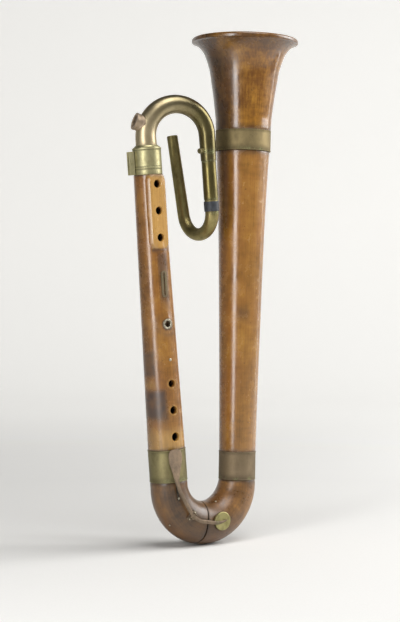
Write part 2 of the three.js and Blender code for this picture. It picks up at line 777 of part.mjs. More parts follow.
piece(crook, 'crook_tenon_lapping', ring(
  crookTenonRadius + seat, headSocketRadius - seat,
  lappingMargin - crookTenonLength, -topLipThickness - lappingMargin,
), 'thread');
piece(crook, 'vent_chimney', alongVent(revolve([
  [0, ventBore],
  [0, ventRadius],
  [ventReach, ventRadius],
  [ventReach, ventBore],
], tubeSides)).subtract(grownCrook), 'brass');
piece(crook, 'clamp_boss', alongClamp(
  ring(clampScrewRadius + seat, clampBossRadius, 0, clampBossReach, smallSides),
).subtract(grownCrook), 'oldBrass');

const clampHeadFoot = clampBossReach + clampHeadGap;
piece(crook, 'clamp_screw', alongClamp(revolve([
  [slideSocket, 0],
  [slideSocket, clampScrewRadius],
  [clampHeadFoot, clampScrewRadius],
  [clampHeadFoot, clampHeadRadius],
  [clampHeadFoot + clampHeadThickness, clampHeadRadius],
  [clampHeadFoot + clampHeadThickness, 0],
], smallSides)), 'oldBrass');

// Tuning slide, in a frame at its lower end
const slide = new THREE.Group();
const slideLength = slideInserted + slideShown;
const tail = crookRoute.at(crookEnd);
slide.position.set(tail.x, 0, tail.z - slideShown);
crook.add(slide);
const slideTube = ring(slideRadius - slideWall, slideRadius, 0, slideLength, tubeSides);
piece(slide, 'tuning_slide', slideTube, 'oldBrass');

// Mouthpipe: tenon in the slide, tight bend, and a long leg that opens outward
const mouthpipe = new THREE.Group();
mouthpipe.rotation.z = mouthpipeAzimuth;
slide.add(mouthpipe);
const mouthRoute = new Route(0, mouthpipeTenon, front)
  .line(mouthpipeTenon + mouthpipeNeck)
  .bend(mouthpipeBend, Math.PI - mouthpipeSpread)
  .line(mouthpipeLeg);
const neckAt = mouthpipeTenon + mouthpipeNeck;
const bendEnd = mouthRoute.length - mouthpipeLeg;
const mouthAt = mouthRoute.length;
const mouthTenonRadius = slideRadius - slideWall - seat;
const bendEndRadius = mouthpipeFootRadius * mouthpipeBendShare;
piece(mouthpipe, 'mouthpipe', revolve([
  [0, mouthTenonRadius - mouthpipeWall],
  [0, mouthTenonRadius],
  [mouthpipeTenon + seat, mouthTenonRadius],
  [mouthpipeTenon + seat, mouthpipeFootRadius],
  [neckAt, mouthpipeFootRadius],
  [bendEnd, bendEndRadius],
  [mouthAt, mouthpipeMouthRadius],
  [mouthAt, mouthpipeMouthRadius - receiverWall],
  [mouthAt - receiverDepth, mouthpipeMouthRadius - receiverWall],
  [bendEnd, bendEndRadius - mouthpipeWall * 2],
  [neckAt, mouthTenonRadius - mouthpipeWall],
], tubeSides, mouthRoute), 'oldBrass');
const bandRadius = mouthpipeFootRadius + seat;
piece(mouthpipe, 'mouthpipe_band',
  ring(bandRadius, bandRadius + bandThickness, -mouthpipeNeck, -bandDrop, tubeSides), 'leather');

// Butt key: touch, curved lever, pivot hub and pointed tongue in one forging
const key = new THREE.Group();
horn.add(key);
const keyPadFoot = padSeatFace + seat;
const cupFloor = keyPadFoot + padThickness + seat;
const cupCrown = cupFloor + cupCrownWall;
const tongueFace = cupCrown + seat + keyThickness / 2;
const keyStations = touchShares.map(([along, wide]) => [touchLength * along, touchWidth * wide]);
const leverSteps = 16;
const leverFrom = touchLength * touchRootShare;
const leverTo = keyRoute.length - cupRadius;
for (let i = 0; i <= leverSteps; i++) {
  keyStations.push([leverFrom + ((leverTo - leverFrom) * i) / leverSteps, leverWidth]);
}
for (const [along, wide] of tongueShares) {
  keyStations.push([keyRoute.length + tongueLength * along, leverWidth * wide]);
}
const sectionShares = [
  [1, 0.5], [0.6, 1], [-0.6, 1], [-1, 0.5], [-1, -0.5], [-0.6, -1], [0.6, -1], [1, -0.5],
];
const leverPoints = keyStations.flatMap(([s, width]) => {
  const { x, z, heading } = keyRoute.at(s);
  const lift = THREE.MathUtils.clamp((s - pivotAt) / (leverTo - pivotAt), 0, 1);
  const face = keyFace + (tongueFace - keyFace) * lift;
  return sectionShares.flatMap(([across, thick]) => {
    const out = (across * width) / 2;
    return [x - out * Math.sin(heading), -face - (thick * keyThickness) / 2, z + out * Math.cos(heading)];
  });
});
const atPivot = (shape) => placed(shape, pivot.x, -keyFace, pivot.z, 0, -pivot.heading);
const leverSag = saddleLength ** 2 / (keyLowerBend * 8); // how far the lever curves within the saddle
const earFace = leverWidth / 2 + seat + leverSag;
const lever = closed(leverPoints, keyStations.length, sectionShares.length, false)
  .add(atPivot(rod(pivotHubRadius, -leverWidth / 2, leverWidth / 2)));
piece(key, 'key_lever', lever.subtract(atPivot(rod(pinRadius + running, -earFace, earFace))), 'brass');
piece(key, 'key_pad_cup', placed(revolve([
  [cupCrown - cupHeight, cupRadius - cupWall],
  [cupCrown - cupHeight, cupRadius],
  [cupCrown - cupHeight / 2, cupRadius],
  [cupCrown - cupWall / 2, cupRadius * cupCrownShares[0]],
  [cupCrown, cupRadius * cupCrownShares[1]],
  [cupCrown, 0],
  [cupFloor, 0],
  [cupFloor, cupRadius - cupWall],
], tubeSides), cup.x, 0, cup.z, up), 'brass');
const keyPad = frontRod(padRadius, keyPadFoot, keyPadFoot + padThickness, cup.x, cup.z, tubeSides);
piece(key, 'key_pad', keyPad, 'leather');

// Saddle of the butt key, bedded on the elbow, and its pin
const saddleTop = -pivotHubRadius - seat;
const saddleFloor = buttEndRadius - keyFace;
const saddleSpan = (earFace + saddleEar + saddleFoot) * 2;
const saddleBlock = (z, depth, from, to) => box(0, -(from + to) / 2, z, saddleLength, to - from, depth);
const earMiddle = earFace + saddleEar / 2;
const saddleScrewAt = earFace + saddleEar + saddleFoot / 2;
const saddleSole = saddleBlock(0, saddleSpan, saddleFloor, saddleTop);
const saddleEars = [-1, 1].map((side) =>
  saddleBlock(side * earMiddle, saddleEar, saddleFloor, pivotHubRadius + seat));
const saddleBodies = saddleSole.add(saddleEars[0]).add(saddleEars[1]);
const saddleScrewFace = keyFace + saddleTop + seat / 2;
const saddleScrews = [-1, 1].map((side) => {
  const out = side * saddleScrewAt;
  return { x: pivot.x - out * Math.sin(pivot.heading), z: pivot.z + out * Math.cos(pivot.heading) };
});
const saddleShank = saddleScrewRadius * screwShank + running;
const saddleHole = ({ x, z }) =>
  frontRod(saddleShank, saddleScrewFace - screwDepth - seat, saddleScrewFace + overrun, x, z);
piece(horn, 'key_saddle', cutAll(atPivot(saddleBodies), [
  atPivot(rod(pinRadius + running, -saddleSpan, saddleSpan)), buttSkin(seat), ...saddleScrews.map(saddleHole),
]), 'brass');
piece(horn, 'key_pivot_pin', atPivot(rod(pinRadius, -earFace - saddleEar, earFace + saddleEar)), 'steel');
saddleScrews.forEach(({ x, z }, i) => {
  const saddleScrew = screw(saddleScrewRadius, screwDepth, buttScrewHead, saddleScrewFace);
  piece(horn, `saddle_screw_${i + 1}`, placed(saddleScrew, x, 0, z, up), 'steel');
});

// Leaf spring: screwed to the elbow, its free end under the lever
const springTip = keyRoute.at(keyStraight);
const springHeading = Math.atan2(springTip.z - springFoot[1], springTip.x - springFoot[0]);
const springRise = springTipFace - springFace;
const springEnd = springWidth;
const springSide = new THREE.Shape([
  new THREE.Vector2(-springEnd, 0),
  new THREE.Vector2(springEnd, 0),
  new THREE.Vector2(springLength, springRise),
  new THREE.Vector2(springLength, springRise + springThickness),
  new THREE.Vector2(springEnd, springThickness),
  new THREE.Vector2(-springEnd, springThickness),
]);
const springStrip = placed(
  solid(new THREE.ExtrudeGeometry(springSide, { depth: springWidth, bevelEnabled: false })),
  0, 0, -springWidth / 2,
);
const springHole = frontRod(springShank, springFace - overrun, springFace + overrun, ...springFoot);
piece(horn, 'key_spring', placed(
  placed(springStrip, 0, 0, 0, Math.PI), springFoot[0], -springFace, springFoot[1], 0, -springHeading,
).subtract(springHole), 'steel');
const springScrewFace = springFace + springThickness + seat / 2;
piece(horn, 'spring_screw', placed(
  screw(springScrewRadius, screwDepth, buttScrewHead, springScrewFace), springFoot[0], 0, springFoot[1], up,
), 'steel');

// Elbows with their cuts, and their screws
buttCuts.push(...saddleScrews.map(saddleHole));
piece(horn, 'fingered_elbow', cutAll(fingeredElbow, buttCuts), 'wood');
piece(horn, 'belled_elbow', cutAll(belledElbow, buttCuts), 'wood');
buttScrews.forEach(({ s, side, face }, i) => {
  piece(horn, `butt_screw_${i + 1}`,
    alongButt(screw(buttScrewRadius, screwDepth, buttScrewHead, face), s, side), 'steel');
});

// The origin is at the middle of the outer box, on its underside
const model = new THREE.Group();
model.add(horn);
model.updateMatrixWorld(true);
const bounds = new THREE.Box3().setFromObject(model, true);
const middle = bounds.getCenter(new THREE.Vector3());
horn.position.set(-middle.x, -middle.y, -bounds.min.z);

export default model;
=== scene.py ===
# %% [markdown]
# # Serpent bass horn
# A deep wind instrument folded in two: a U-shaped butt, two conical limbs, a flared
# wooden bell and a brass crook that brings the sound pipe back to the player. The fixed
# frame gives the place of every piece. Each piece is shaped again here with round
# surfaces, soft edges and its own finish, and it rides on the body that carries it.

# %% Load the fixed frame
import math

import bmesh
import bpy
import numpy as np
from mathutils import Matrix, Vector


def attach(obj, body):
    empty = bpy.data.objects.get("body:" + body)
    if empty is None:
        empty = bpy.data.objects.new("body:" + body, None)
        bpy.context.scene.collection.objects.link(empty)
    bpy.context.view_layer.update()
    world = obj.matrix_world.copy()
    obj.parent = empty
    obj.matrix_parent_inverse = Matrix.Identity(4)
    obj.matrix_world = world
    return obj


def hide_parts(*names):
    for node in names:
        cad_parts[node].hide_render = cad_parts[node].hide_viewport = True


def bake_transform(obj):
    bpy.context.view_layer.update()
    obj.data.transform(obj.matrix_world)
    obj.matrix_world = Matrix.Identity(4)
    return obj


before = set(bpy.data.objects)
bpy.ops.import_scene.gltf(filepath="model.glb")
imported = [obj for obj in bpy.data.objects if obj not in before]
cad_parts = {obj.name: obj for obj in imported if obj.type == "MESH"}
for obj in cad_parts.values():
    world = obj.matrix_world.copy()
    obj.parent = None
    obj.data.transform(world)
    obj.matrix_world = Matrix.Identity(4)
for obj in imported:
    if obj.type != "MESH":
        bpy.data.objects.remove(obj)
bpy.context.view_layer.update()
MM = 0.001

# %% [markdown]
# ## Routes
# The butt, the crook and the mouthpipe are tubes bent in one plane. A route is the line
# that runs down the middle of such a tube, made of straight runs and round bends. It can
# answer two questions: where is the middle after so many millimetres, and how far along
# and how far from the middle is a given point. The second answer straightens a bent
# tube, so that wood grain and drawing marks can follow the bend.

# %% A route of straight runs and bends
UP = math.pi / 2


class Route:
    def __init__(self, x, z, heading):
        self.runs = []
        self.tip = (x, z, heading)
        self.length = 0.0

    def line(self, length):
        return self.add(length, 0.0, 0)

    def bend(self, radius, turn):
        return self.add(radius * abs(turn), radius, 1 if turn > 0 else -1)

    def add(self, length, radius, side):
        self.runs.append((*self.tip, self.length, self.length + length, radius, side))
        self.length += length
        self.tip = self.at(self.length)
        return self

    def at(self, s):
        run = next((one for one in self.runs if s <= one[4]), self.runs[-1])
        x, z, heading, start, _, radius, side = run
        along = s - start
        if not side:
            return x + along * math.cos(heading), z + along * math.sin(heading), heading
        turned_to = heading + side * along / radius
        x += side * radius * (math.sin(turned_to) - math.sin(heading))
        z -= side * radius * (math.cos(turned_to) - math.cos(heading))
        return x, z, turned_to

    def straightened(self, points):
        best = np.full(len(points), np.inf)
        flat = np.zeros((len(points), 3))
        for x, z, heading, start, end, radius, side in self.runs:
            dx, dz = points[:, 0] - x, points[:, 2] - z
            if side:
                cx = dx + side * radius * math.sin(heading)
                cz = dz - side * radius * math.cos(heading)
                angle = np.arctan2(side * cx, -side * cz) - heading
                angle = (angle + math.pi) % (2 * math.pi) - math.pi
                along = side * angle * radius
                out = side * (radius - np.hypot(cx, cz))
            else:
                along = dx * math.cos(heading) + dz * math.sin(heading)
                out = dz * math.cos(heading) - dx * math.sin(heading)
            miss = np.abs(along - np.clip(along, 0, end - start)) + np.abs(out) * 0.01
            near = miss < best
            best[near] = miss[near]
            flat[near] = np.stack([out, points[:, 1], along + start], 1)[near]
        return flat


UPRIGHT = Route(0, 0, UP).line(1)
print("a quarter bend of 10 mm ends at", [round(v, 3) for v in Route(0, 0, 0).bend(10, UP).tip])

# %% [markdown]
# ## Shaping tools
# A turner cuts a profile while the wood spins. The first tool does the same: it sweeps a
# closed profile round a route. Sharp corners catch no light and look false, so the second
# tool eases each corner of the profile, as sandpaper and wear do, and the third draws a
# flowing curve through a few measured points. Plates and pads are prisms with an eased
# rim, and joints between pieces are cut with the boolean modifier.

# %% Profiles: eased corners and flowing curves
def eased(outline, radius, loop=True, steps=4):
    done = []
    last = len(outline) - 1
    for i, corner in enumerate(outline):
        if not loop and i in (0, last):
            done.append(tuple(corner))
            continue
        corner = np.array(corner, float)
        before = np.array(outline[i - 1], float) - corner
        after = np.array(outline[(i + 1) % len(outline)], float) - corner
        spans = np.hypot(*before), np.hypot(*after)
        if min(spans) < 1e-6:
            continue
        bend = abs(before[0] * after[1] - before[1] * after[0]) / (spans[0] * spans[1])
        if bend < 0.2 and before @ after < 0:
            done.append(tuple(corner))
            continue
        a = corner + before / spans[0] * min(radius, spans[0] * 0.45)
        b = corner + after / spans[1] * min(radius, spans[1] * 0.45)
        for k in range(steps + 1):
            t = k / steps
            done.append(tuple(a * (1 - t) ** 2 + corner * 2 * t * (1 - t) + b * t * t))
    return done


def flowing(points, parts=6):
    knots = [points[0], *points, points[-1]]
    done = []
    for p0, p1, p2, p3 in zip(knots, knots[1:], knots[2:], knots[3:]):
        p0, p1, p2, p3 = (np.array(p, float) for p in (p0, p1, p2, p3))
        for k in range(parts):
            t = k / parts
            curve = 2 * p1 + (p2 - p0) * t + (2 * p0 - 5 * p1 + 4 * p2 - p3) * t ** 2
            done.append(tuple((curve + (3 * p1 - p0 - 3 * p2 + p3) * t ** 3) / 2))
    return done + [tuple(points[-1])]


print("an eased square has", len(eased([(0, 0), (1, 0), (1, 1), (0, 1)], 0.1)), "points")

# %% Solids: a mesh from points, and faces between rings
def solid(name, points, faces):
    mesh = bpy.data.meshes.new(name)
    mesh.from_pydata((np.asarray(points, float) * MM).tolist(), [], faces)
    work = bmesh.new()
    work.from_mesh(mesh)
    bmesh.ops.remove_doubles(work, verts=work.verts, dist=1e-7)
    bmesh.ops.recalc_face_normals(work, faces=work.faces)
    work.to_mesh(mesh)
    work.free()
    piece = bpy.data.objects.new(name, mesh)
    bpy.context.scene.collection.objects.link(piece)
    return piece


def ring_faces(first, second, count):
    """Faces between two rings of count points, given each ring's first point."""
    return [(first + k, first + (k + 1) % count, second + (k + 1) % count, second + k)
            for k in range(count)]


print("faces between two squares:", ring_faces(0, 4, 4))

# %% A profile swept round a route
RING_TURN = math.radians(2.5)


def turned(name, outline, route=UPRIGHT, sides=96, reach=5.0):
    outline = [(float(s), float(r)) for s, r in outline]
    axis_ends = outline[0][1] == 0 and outline[-1][1] == 0
    rings = []
    for (s, r), (next_s, next_r) in zip(outline, outline[1:] + outline[:1]):
        turn = abs(route.at(next_s)[2] - route.at(s)[2])
        span = math.hypot(next_s - s, next_r - r)
        parts = max(1, math.ceil(turn / RING_TURN), math.ceil(span / reach))
        for k in range(parts):
            rings.append((s + (next_s - s) * k / parts, r + (next_r - r) * k / parts))
        if axis_ends and (next_s, next_r) == outline[-1]:
            rings.append(outline[-1])
            break
    angles = np.arange(sides) * 2 * math.pi / sides
    points = []
    for s, r in rings:
        x, z, heading = route.at(s)
        out = r * np.cos(angles)
        across, up = out * math.sin(heading), out * math.cos(heading)
        points.append(np.stack([x - across, r * np.sin(angles), z + up], 1))
    count = len(rings)
    faces = []
    for i in range(count - 1 if axis_ends else count):
        faces += ring_faces(i * sides, (i + 1) % count * sides, sides)
    return solid(name, np.concatenate(points), faces)


print("a bend is cut into steps of", round(math.degrees(RING_TURN), 1), "degrees")

# %% Layers, eased prisms and blocks
def layered(name, layers):
    count = len(layers[0])
    faces = []
    for i in range(len(layers) - 1):
        faces += ring_faces(i * count, (i + 1) * count, count)
    points = np.concatenate([*layers, np.mean(layers[0], 0)[None], np.mean(layers[-1], 0)[None]])
    top = (len(layers) - 1) * count
    for k in range(count):
        faces.append((len(points) - 2, (k + 1) % count, k))
        faces.append((len(points) - 1, top + k, top + (k + 1) % count))
    return solid(name, points, faces)


def stadium(width, length, steps=20):
    half, straight = width / 2, (length - width) / 2
    turn = np.linspace(0, math.pi, steps)
    upper = np.stack([half * np.cos(turn), straight + half * np.sin(turn)], 1)
    return np.concatenate([upper, -upper])


def unit(rows):
    return rows / np.linalg.norm(rows, axis=1)[:, None]


def inset(outline, depth):
    before = outline - np.roll(outline, 1, 0)
    after = np.roll(outline, -1, 0) - outline
    along = unit(unit(before) + unit(after))
    return outline + np.stack([-along[:, 1], along[:, 0]], 1) * depth


def levelled(name, outline, levels):
    """A solid from one outline that is drawn in by a depth at each height."""
    layers = []
    for depth, height in levels:
        layers.append(np.column_stack([inset(outline, depth), np.full(len(outline), height)]))
    return layered(name, layers)


def prism(name, outline, height, edge, steps=5):
    levels = [(0, 0.0), (0, height - edge)]
    for k in range(1, steps + 1):
        turn = UP * k / steps
        levels.append((edge * (1 - math.cos(turn)), height - edge + edge * math.sin(turn)))
    return levelled(name, outline, levels)


def block(name, low, high, edge):
    work = bmesh.new()
    bmesh.ops.create_cube(work, size=1)
    low, high = np.array(low, float), np.array(high, float)
    for vert in work.verts:
        vert.co = (np.array(vert.co) + 0.5) * (high - low) + low
    bmesh.ops.bevel(work, geom=work.edges[:], offset=edge, segments=3, profile=0.5, affect="EDGES")
    work.verts.index_update()
    points = [tuple(vert.co) for vert in work.verts]
    faces = [tuple(vert.index for vert in face.verts) for face in work.faces]
    work.free()
    return solid(name, points, faces)


print("prism points:", len(prism("test_prism", stadium(4, 9), 2, 0.5).data.vertices))
bpy.data.objects.remove(bpy.data.objects["test_prism"])

# %% Joining, cutting and turning solids
def drop(piece):
    mesh = piece.data
    bpy.data.objects.remove(piece)
    bpy.data.meshes.remove(mesh)


def joined(pieces):
    work = bmesh.new()
    for piece in pieces:
        work.from_mesh(piece.data)
    work.to_mesh(pieces[0].data)
    work.free()
    for piece in pieces[1:]:
        drop(piece)
    return pieces[0]


def fitted(piece, tool, operation="DIFFERENCE"):
    step = piece.modifiers.new("fit", "BOOLEAN")
    step.solver = "MANIFOLD"
    step.operation = operation
    step.object = tool
    seen = piece.evaluated_get(bpy.context.evaluated_depsgraph_get())
    mesh = bpy.data.meshes.new_from_object(seen)
    piece.modifiers.clear()
    piece.data = mesh
    drop(tool)
    return piece


def moved(piece, x=0.0, y=0.0, z=0.0, turns=()):
    matrix = Matrix.Translation((x * MM, y * MM, z * MM))
    for angle, axis in turns:
        matrix = matrix @ Matrix.Rotation(angle, 4, axis)
    piece.data.transform(matrix)
    return piece


def to_front(piece, x, z):
    return moved(piece, x, 0, z, [(UP, "X")])


def rod(radius, start, end, sides=48):
    return turned("rod", [(start, 0), (start, radius), (end, radius), (end, 0)], sides=sides)


def core(route, side, start, end, gap, reach=2.0):
    """The body inside a tube's outer side, grown by a gap, to cut other pieces with."""
    grown = [(s, r + gap) for s, r in side]
    return turned("core", [(start, 0), *grown, (end, 0)], route=route, sides=160, reach=reach)


print("a rod of 2 mm has", len(rod(1, 0, 2).data.vertices), "points")
drop(bpy.data.objects["rod"])

# %% [markdown]
# ## Nodes for materials
# A material is a small network. One helper adds a node, sets it up, links its inputs and
# gives back one output. Colours are written as the eye reads them, in sRGB hex, and turned
# to linear light by one function. Three things are painted on each piece as it is made:
# `flow`, its place in the straightened tube, a darkening where dirt and smoke gather and,
# on some pieces, painted shade on the sides and creases away from the light, and `wear`,
# where hands rub. Two recipes come back in every finish: clouds of a size in millimetres,
# and washes of colour that are laid over each other as a painter would.

# %% One helper for nodes, one for colours
def linear(colour):
    parts = [int(colour[i:i + 2], 16) / 255 for i in (1, 3, 5)]
    return [*(v / 12.92 if v <= 0.04045 else ((v + 0.055) / 1.055) ** 2.4 for v in parts), 1.0]


def add(tree, kind, inputs=(), output=0, stops=(), **settings):
    """Add a node with its settings and links. Stops are a colour ramp's places and colours."""
    node = tree.nodes.new("ShaderNode" + kind)
    for name, value in settings.items():
        setattr(node, name, value)
    for name, value in (inputs.items() if isinstance(inputs, dict) else enumerate(inputs)):
        if isinstance(value, bpy.types.NodeSocket):
            tree.links.new(value, node.inputs[name])
        else:
            node.inputs[name].default_value = value
    while stops and len(node.color_ramp.elements) < len(stops):
        node.color_ramp.elements.new(0.5)
    for i, (place, colour) in enumerate(stops):
        node.color_ramp.elements[i].position = place
        node.color_ramp.elements[i].color = linear(colour)
    return node.outputs[output] if node.outputs else None


print("linear value of a middle grey:", round(linear("#808080")[0], 4))

# %% A new material, clouds sized in millimetres, and washes of colour
def new_material(name, *paints):
    """A bare surface shader, and one reader for each kind of paint that is named."""
    material = bpy.data.materials.new(name)
    material.use_nodes = True
    tree = material.node_tree
    tree.nodes.clear()
    surface = add(tree, "BsdfPrincipled")
    add(tree, "OutputMaterial", {"Surface": surface})
    readers = [add(tree, "Attribute", output="Vector" if paint == "flow" else "Fac",
                   attribute_name=paint) for paint in paints]
    return material, tree, surface.node, *readers


def cloud(tree, vector, size_mm, detail=3.0, stretch=(1, 1, 1), rough=0.6):
    place = add(tree, "Mapping", {"Vector": vector, "Scale": stretch})
    return add(tree, "TexNoise", {
        "Vector": place, "Scale": 1000 / size_mm, "Detail": detail, "Roughness": rough,
    }, "Fac")


def washed(tree, colour, *washes):
    """Lay washes over a ground in turn. Each is how much, 0 to 1, and which colour."""
    # Sockets 0, 6 and 7 of a colour mix are its share and its two colours
    for share, tint in washes:
        wash = {0: share, 6: colour, 7: linear(tint)}
        colour = add(tree, "Mix", wash, 2, data_type="RGBA")
    return colour


print("a cloud of 2 mm has a noise scale of", 1000 / 2)

# %% [markdown]
# ## Fruitwood under old varnish
# The body is close-grained fruitwood, stained brown and finished with shellac. Up close
# it shows three scales: growth rings a few millimetres apart that run along the tube as
# soft streaks, fine vessels like short dark scratches, and broad cloudy changes of tone.
# Varnish lies over all of it as a clear coat, satin by now, so one soft highlight stands
# over wood that is dull. Smoke and hands have darkened some places and rubbed others pale,
# and painted shade darkens the sides that face away from the light.

# %% Recipe of varnished fruitwood
# Widths of the marks in mm. Real vessels are 0.1 mm wide, too fine to show, so they are
# drawn 0.8 mm wide. A scale of 62 gives the wave node one growth ring every 5 mm.
VESSEL, PIT, STREAK, DENT, CRACK, CURL = 0.8, 2.6, 3.4, 6.0, 9.0, 14.0
BLOTCH, SOOT, RED_CLOUD, TONE_CLOUD = 20.0, 22.0, 46.0, 75.0
TOOL_WAVE, DROP_OF_VARNISH, RUN_OF_VARNISH = 16.0, 9.0, 34.0
RING_SCALE = 62.0
TONE_SHARES = 2.2


def varnished_wood(name, dark, middle, pale, worn="#c89a58", coat=1.0, marks=0.5, grain=1.0,
                   ruddy="#94592a", smoke_and_shade_tint="#2b2319", satin=0.0):
    """Coat is how much varnish is left, marks how bruised, grain how lined, satin how dull."""
    material, tree, shader, flow, grime_and_shade, wear = new_material(name, "flow", "grime_and_shade", "wear")
    # Rings round a pith that lay 55 mm beside the tube, here only a faint trace
    pith = add(tree, "Mapping", {
        "Vector": flow, "Location": (0.055, 0.02, 0), "Scale": (1, 1, 0.08),
    })
    rings = add(tree, "TexWave", {
        "Vector": pith, "Scale": RING_SCALE, "Distortion": 9.0,
        "Detail": 4.0, "Detail Scale": 0.5, "Detail Roughness": 0.65,
    }, "Fac", wave_type="RINGS", rings_direction="Z")
    streaks = cloud(tree, flow, STREAK, 6.0, (1, 1, 0.035), 0.65)
    vessels = cloud(tree, flow, VESSEL, 3.0, (1, 1, 0.05), 0.7)
    curl = cloud(tree, flow, CURL, 4.0, (0.5, 0.5, 2.2), 0.6)
    clouds = cloud(tree, flow, TONE_CLOUD, 5.0, (1, 1, 0.55), 0.6)
    blotches = cloud(tree, flow, BLOTCH, 5.0, (1, 1, 0.8), 0.65)
    tone = 0.0
    for pattern, share in ((rings, 0.04), (streaks, 0.34 * grain), (vessels, 0.14 * grain),
                           (curl, 0.3), (clouds, 0.78), (blotches, 0.94 - 0.34 * grain)):
        tone = add(tree, "Math", [pattern, share / TONE_SHARES, tone], operation="MULTIPLY_ADD")
    ground = add(tree, "ValToRGB", [tone], stops=((0.38, dark), (0.5, middle), (0.63, pale)))
    redder = cloud(tree, flow, RED_CLOUD, 4.0, (1, 1, 0.5), 0.4)
    redder = add(tree, "MapRange", [redder, 0.42, 0.7, 0.0, 0.36])
    pores = add(tree, "MapRange", [vessels, 0.28, 0.4, 0.3 * grain, 0.0])
    ground = add(tree, "Mix", {
        0: pores, 6: washed(tree, ground, (redder, ruddy)), 7: linear("#3a2212"),
    }, 2, data_type="RGBA", blend_type="MULTIPLY")
    # Hands rub the streaks pale. Bruises, cracks across the grain and worm-sized pits are
    # darker than the wood, and soot lies over all of it. On some pieces that same wash is
    # painted shade on the side away from the light
    rubbed = add(tree, "MapRange", [streaks, 0.3, 0.7, 0.55, 1.0])
    rubbed = add(tree, "Math", [wear, rubbed], operation="MULTIPLY")
    dents = cloud(tree, flow, DENT, 2.0, rough=0.5)
    dents = add(tree, "MapRange", [dents, 0.69, 0.75, 0.0, marks])
    cracks = cloud(tree, flow, CRACK, 6.0, (0.3, 0.3, 3.5), 0.75)
    cracks = add(tree, "MapRange", [cracks, 0.66, 0.72, 0.0, marks * 0.7])
    pits = cloud(tree, flow, PIT, 1.0, rough=0.9)
    pits = add(tree, "MapRange", [pits, 0.7, 0.74, 0.0, marks * 0.9])
    soot_and_shade = add(tree, "MapRange", [cloud(tree, flow, SOOT, 4.0), 0.25, 0.6, 0.6, 1.0])
    soot_and_shade = add(tree, "Math", [grime_and_shade, soot_and_shade], operation="MULTIPLY")
    colour = washed(tree, ground, (rubbed, worn), (dents, "#3d2614"), (cracks, "#4a2f1a"),
                    (pits, "#2e1d10"), (soot_and_shade, smoke_and_shade_tint))
    tree.links.new(colour, shader.inputs["Base Color"])
    gloss = add(tree, "MapRange", [vessels, 0.3, 0.7, 0.56, 0.42])
    dirt_and_shade = add(tree, "Math", [grime_and_shade, 0.1], operation="MULTIPLY")
    gloss = add(tree, "Math", [gloss, dirt_and_shade], operation="ADD")
    tree.links.new(gloss, shader.inputs["Roughness"])
    skin = add(tree, "Bump", {"Height": vessels, "Distance": 0.03 * MM})
    waves = cloud(tree, flow, TOOL_WAVE, 2.0)
    skin = add(tree, "Bump", {"Height": waves, "Distance": 0.12 * MM, "Normal": skin})
    tree.links.new(skin, shader.inputs["Normal"])
    # The clear coat is satin, duller over blotches and grime, and has its own slow waves
    dull = add(tree, "MapRange", [blotches, 0.35, 0.7, 0.13 + satin, 0.28 + satin])
    dirt_and_shade = add(tree, "Math", [grime_and_shade, 0.12], operation="MULTIPLY")
    dull = add(tree, "Math", [dull, dirt_and_shade], operation="ADD")
    tree.links.new(dull, shader.inputs["Coat Roughness"])
    drops, runs = cloud(tree, flow, DROP_OF_VARNISH, 3.0), cloud(tree, flow, RUN_OF_VARNISH, 2.0)
    drops = add(tree, "Bump", {"Height": drops, "Distance": 0.05 * MM})
    runs = add(tree, "Bump", {"Height": runs, "Distance": 0.3 * MM, "Normal": drops})
    tree.links.new(runs, shader.inputs["Coat Normal"])
    shader.inputs["Coat Weight"].default_value = coat
    shader.inputs["Coat IOR"].default_value = 1.65
    shader.inputs["Specular IOR Level"].default_value = 0.1
    shader.inputs["IOR"].default_value = 1.5
    return material


print("mark sizes in mm:", VESSEL, "to", TONE_CLOUD)

# %% Three varnished woods
# Limbs: honey brown with long grain. The eye gets a warm ground under one clear highlight
LIMB_WOOD = varnished_wood("varnished_limb_wood", "#67410f", "#8f6020", "#b07f30", "#caa058",
                           smoke_and_shade_tint="#2a2527", satin=0.03)
# Bell: the darkest stain, with strong fine lines, golden where light falls through it
BELL_WOOD = varnished_wood("varnished_bell_wood", "#3f2804", "#75490d", "#b27e26", "#b07a34",
                           1.0, 0.4, 1.3, "#6c3f10", "#24180a")
# Butt: bent round the ground end, so it is scuffed, spotted and the dullest of the three
BUTT_WOOD = varnished_wood("scuffed_butt_wood", "#432e17", "#704e28", "#a07133", "#b0782c",
                           0.8, 0.9, 0.6, "#7c4b1e", satin=0.12)
print("woods:", LIMB_WOOD.name, BELL_WOOD.name, BUTT_WOOD.name)

# %% [markdown]
# ## Brass
# Sheet brass for ferrules, drawn brass for the crook, filed brass for the key. The metal
# is yellow when clean, but these have stood for two centuries: the left ferrules have gone
# a pale greenish grey and the right ones brown. The crook is hazed and warm and browns
# along its second half, the slide and mouthpipe are olive, the key and vent greyed pink.
# Fine marks follow the way it was made: round a turned ferrule, along a drawn tube. Dirt
# stays in corners and along beads, and edges that are handled stay bright. Painted shade
# darkens the sides of the ferrules and the slide.

# %% Recipe of aged brass
# Sizes in mm. A polishing scratch is 0.05 mm wide, so it is drawn 0.7 mm wide to show.
SCRATCH, SPECK, HAMMER_WAVE = 0.7, 1.6, 30.0
ROUND_MARKS = (0.03, 0.03, 1)
LONG_MARKS = (1, 1, 0.03)


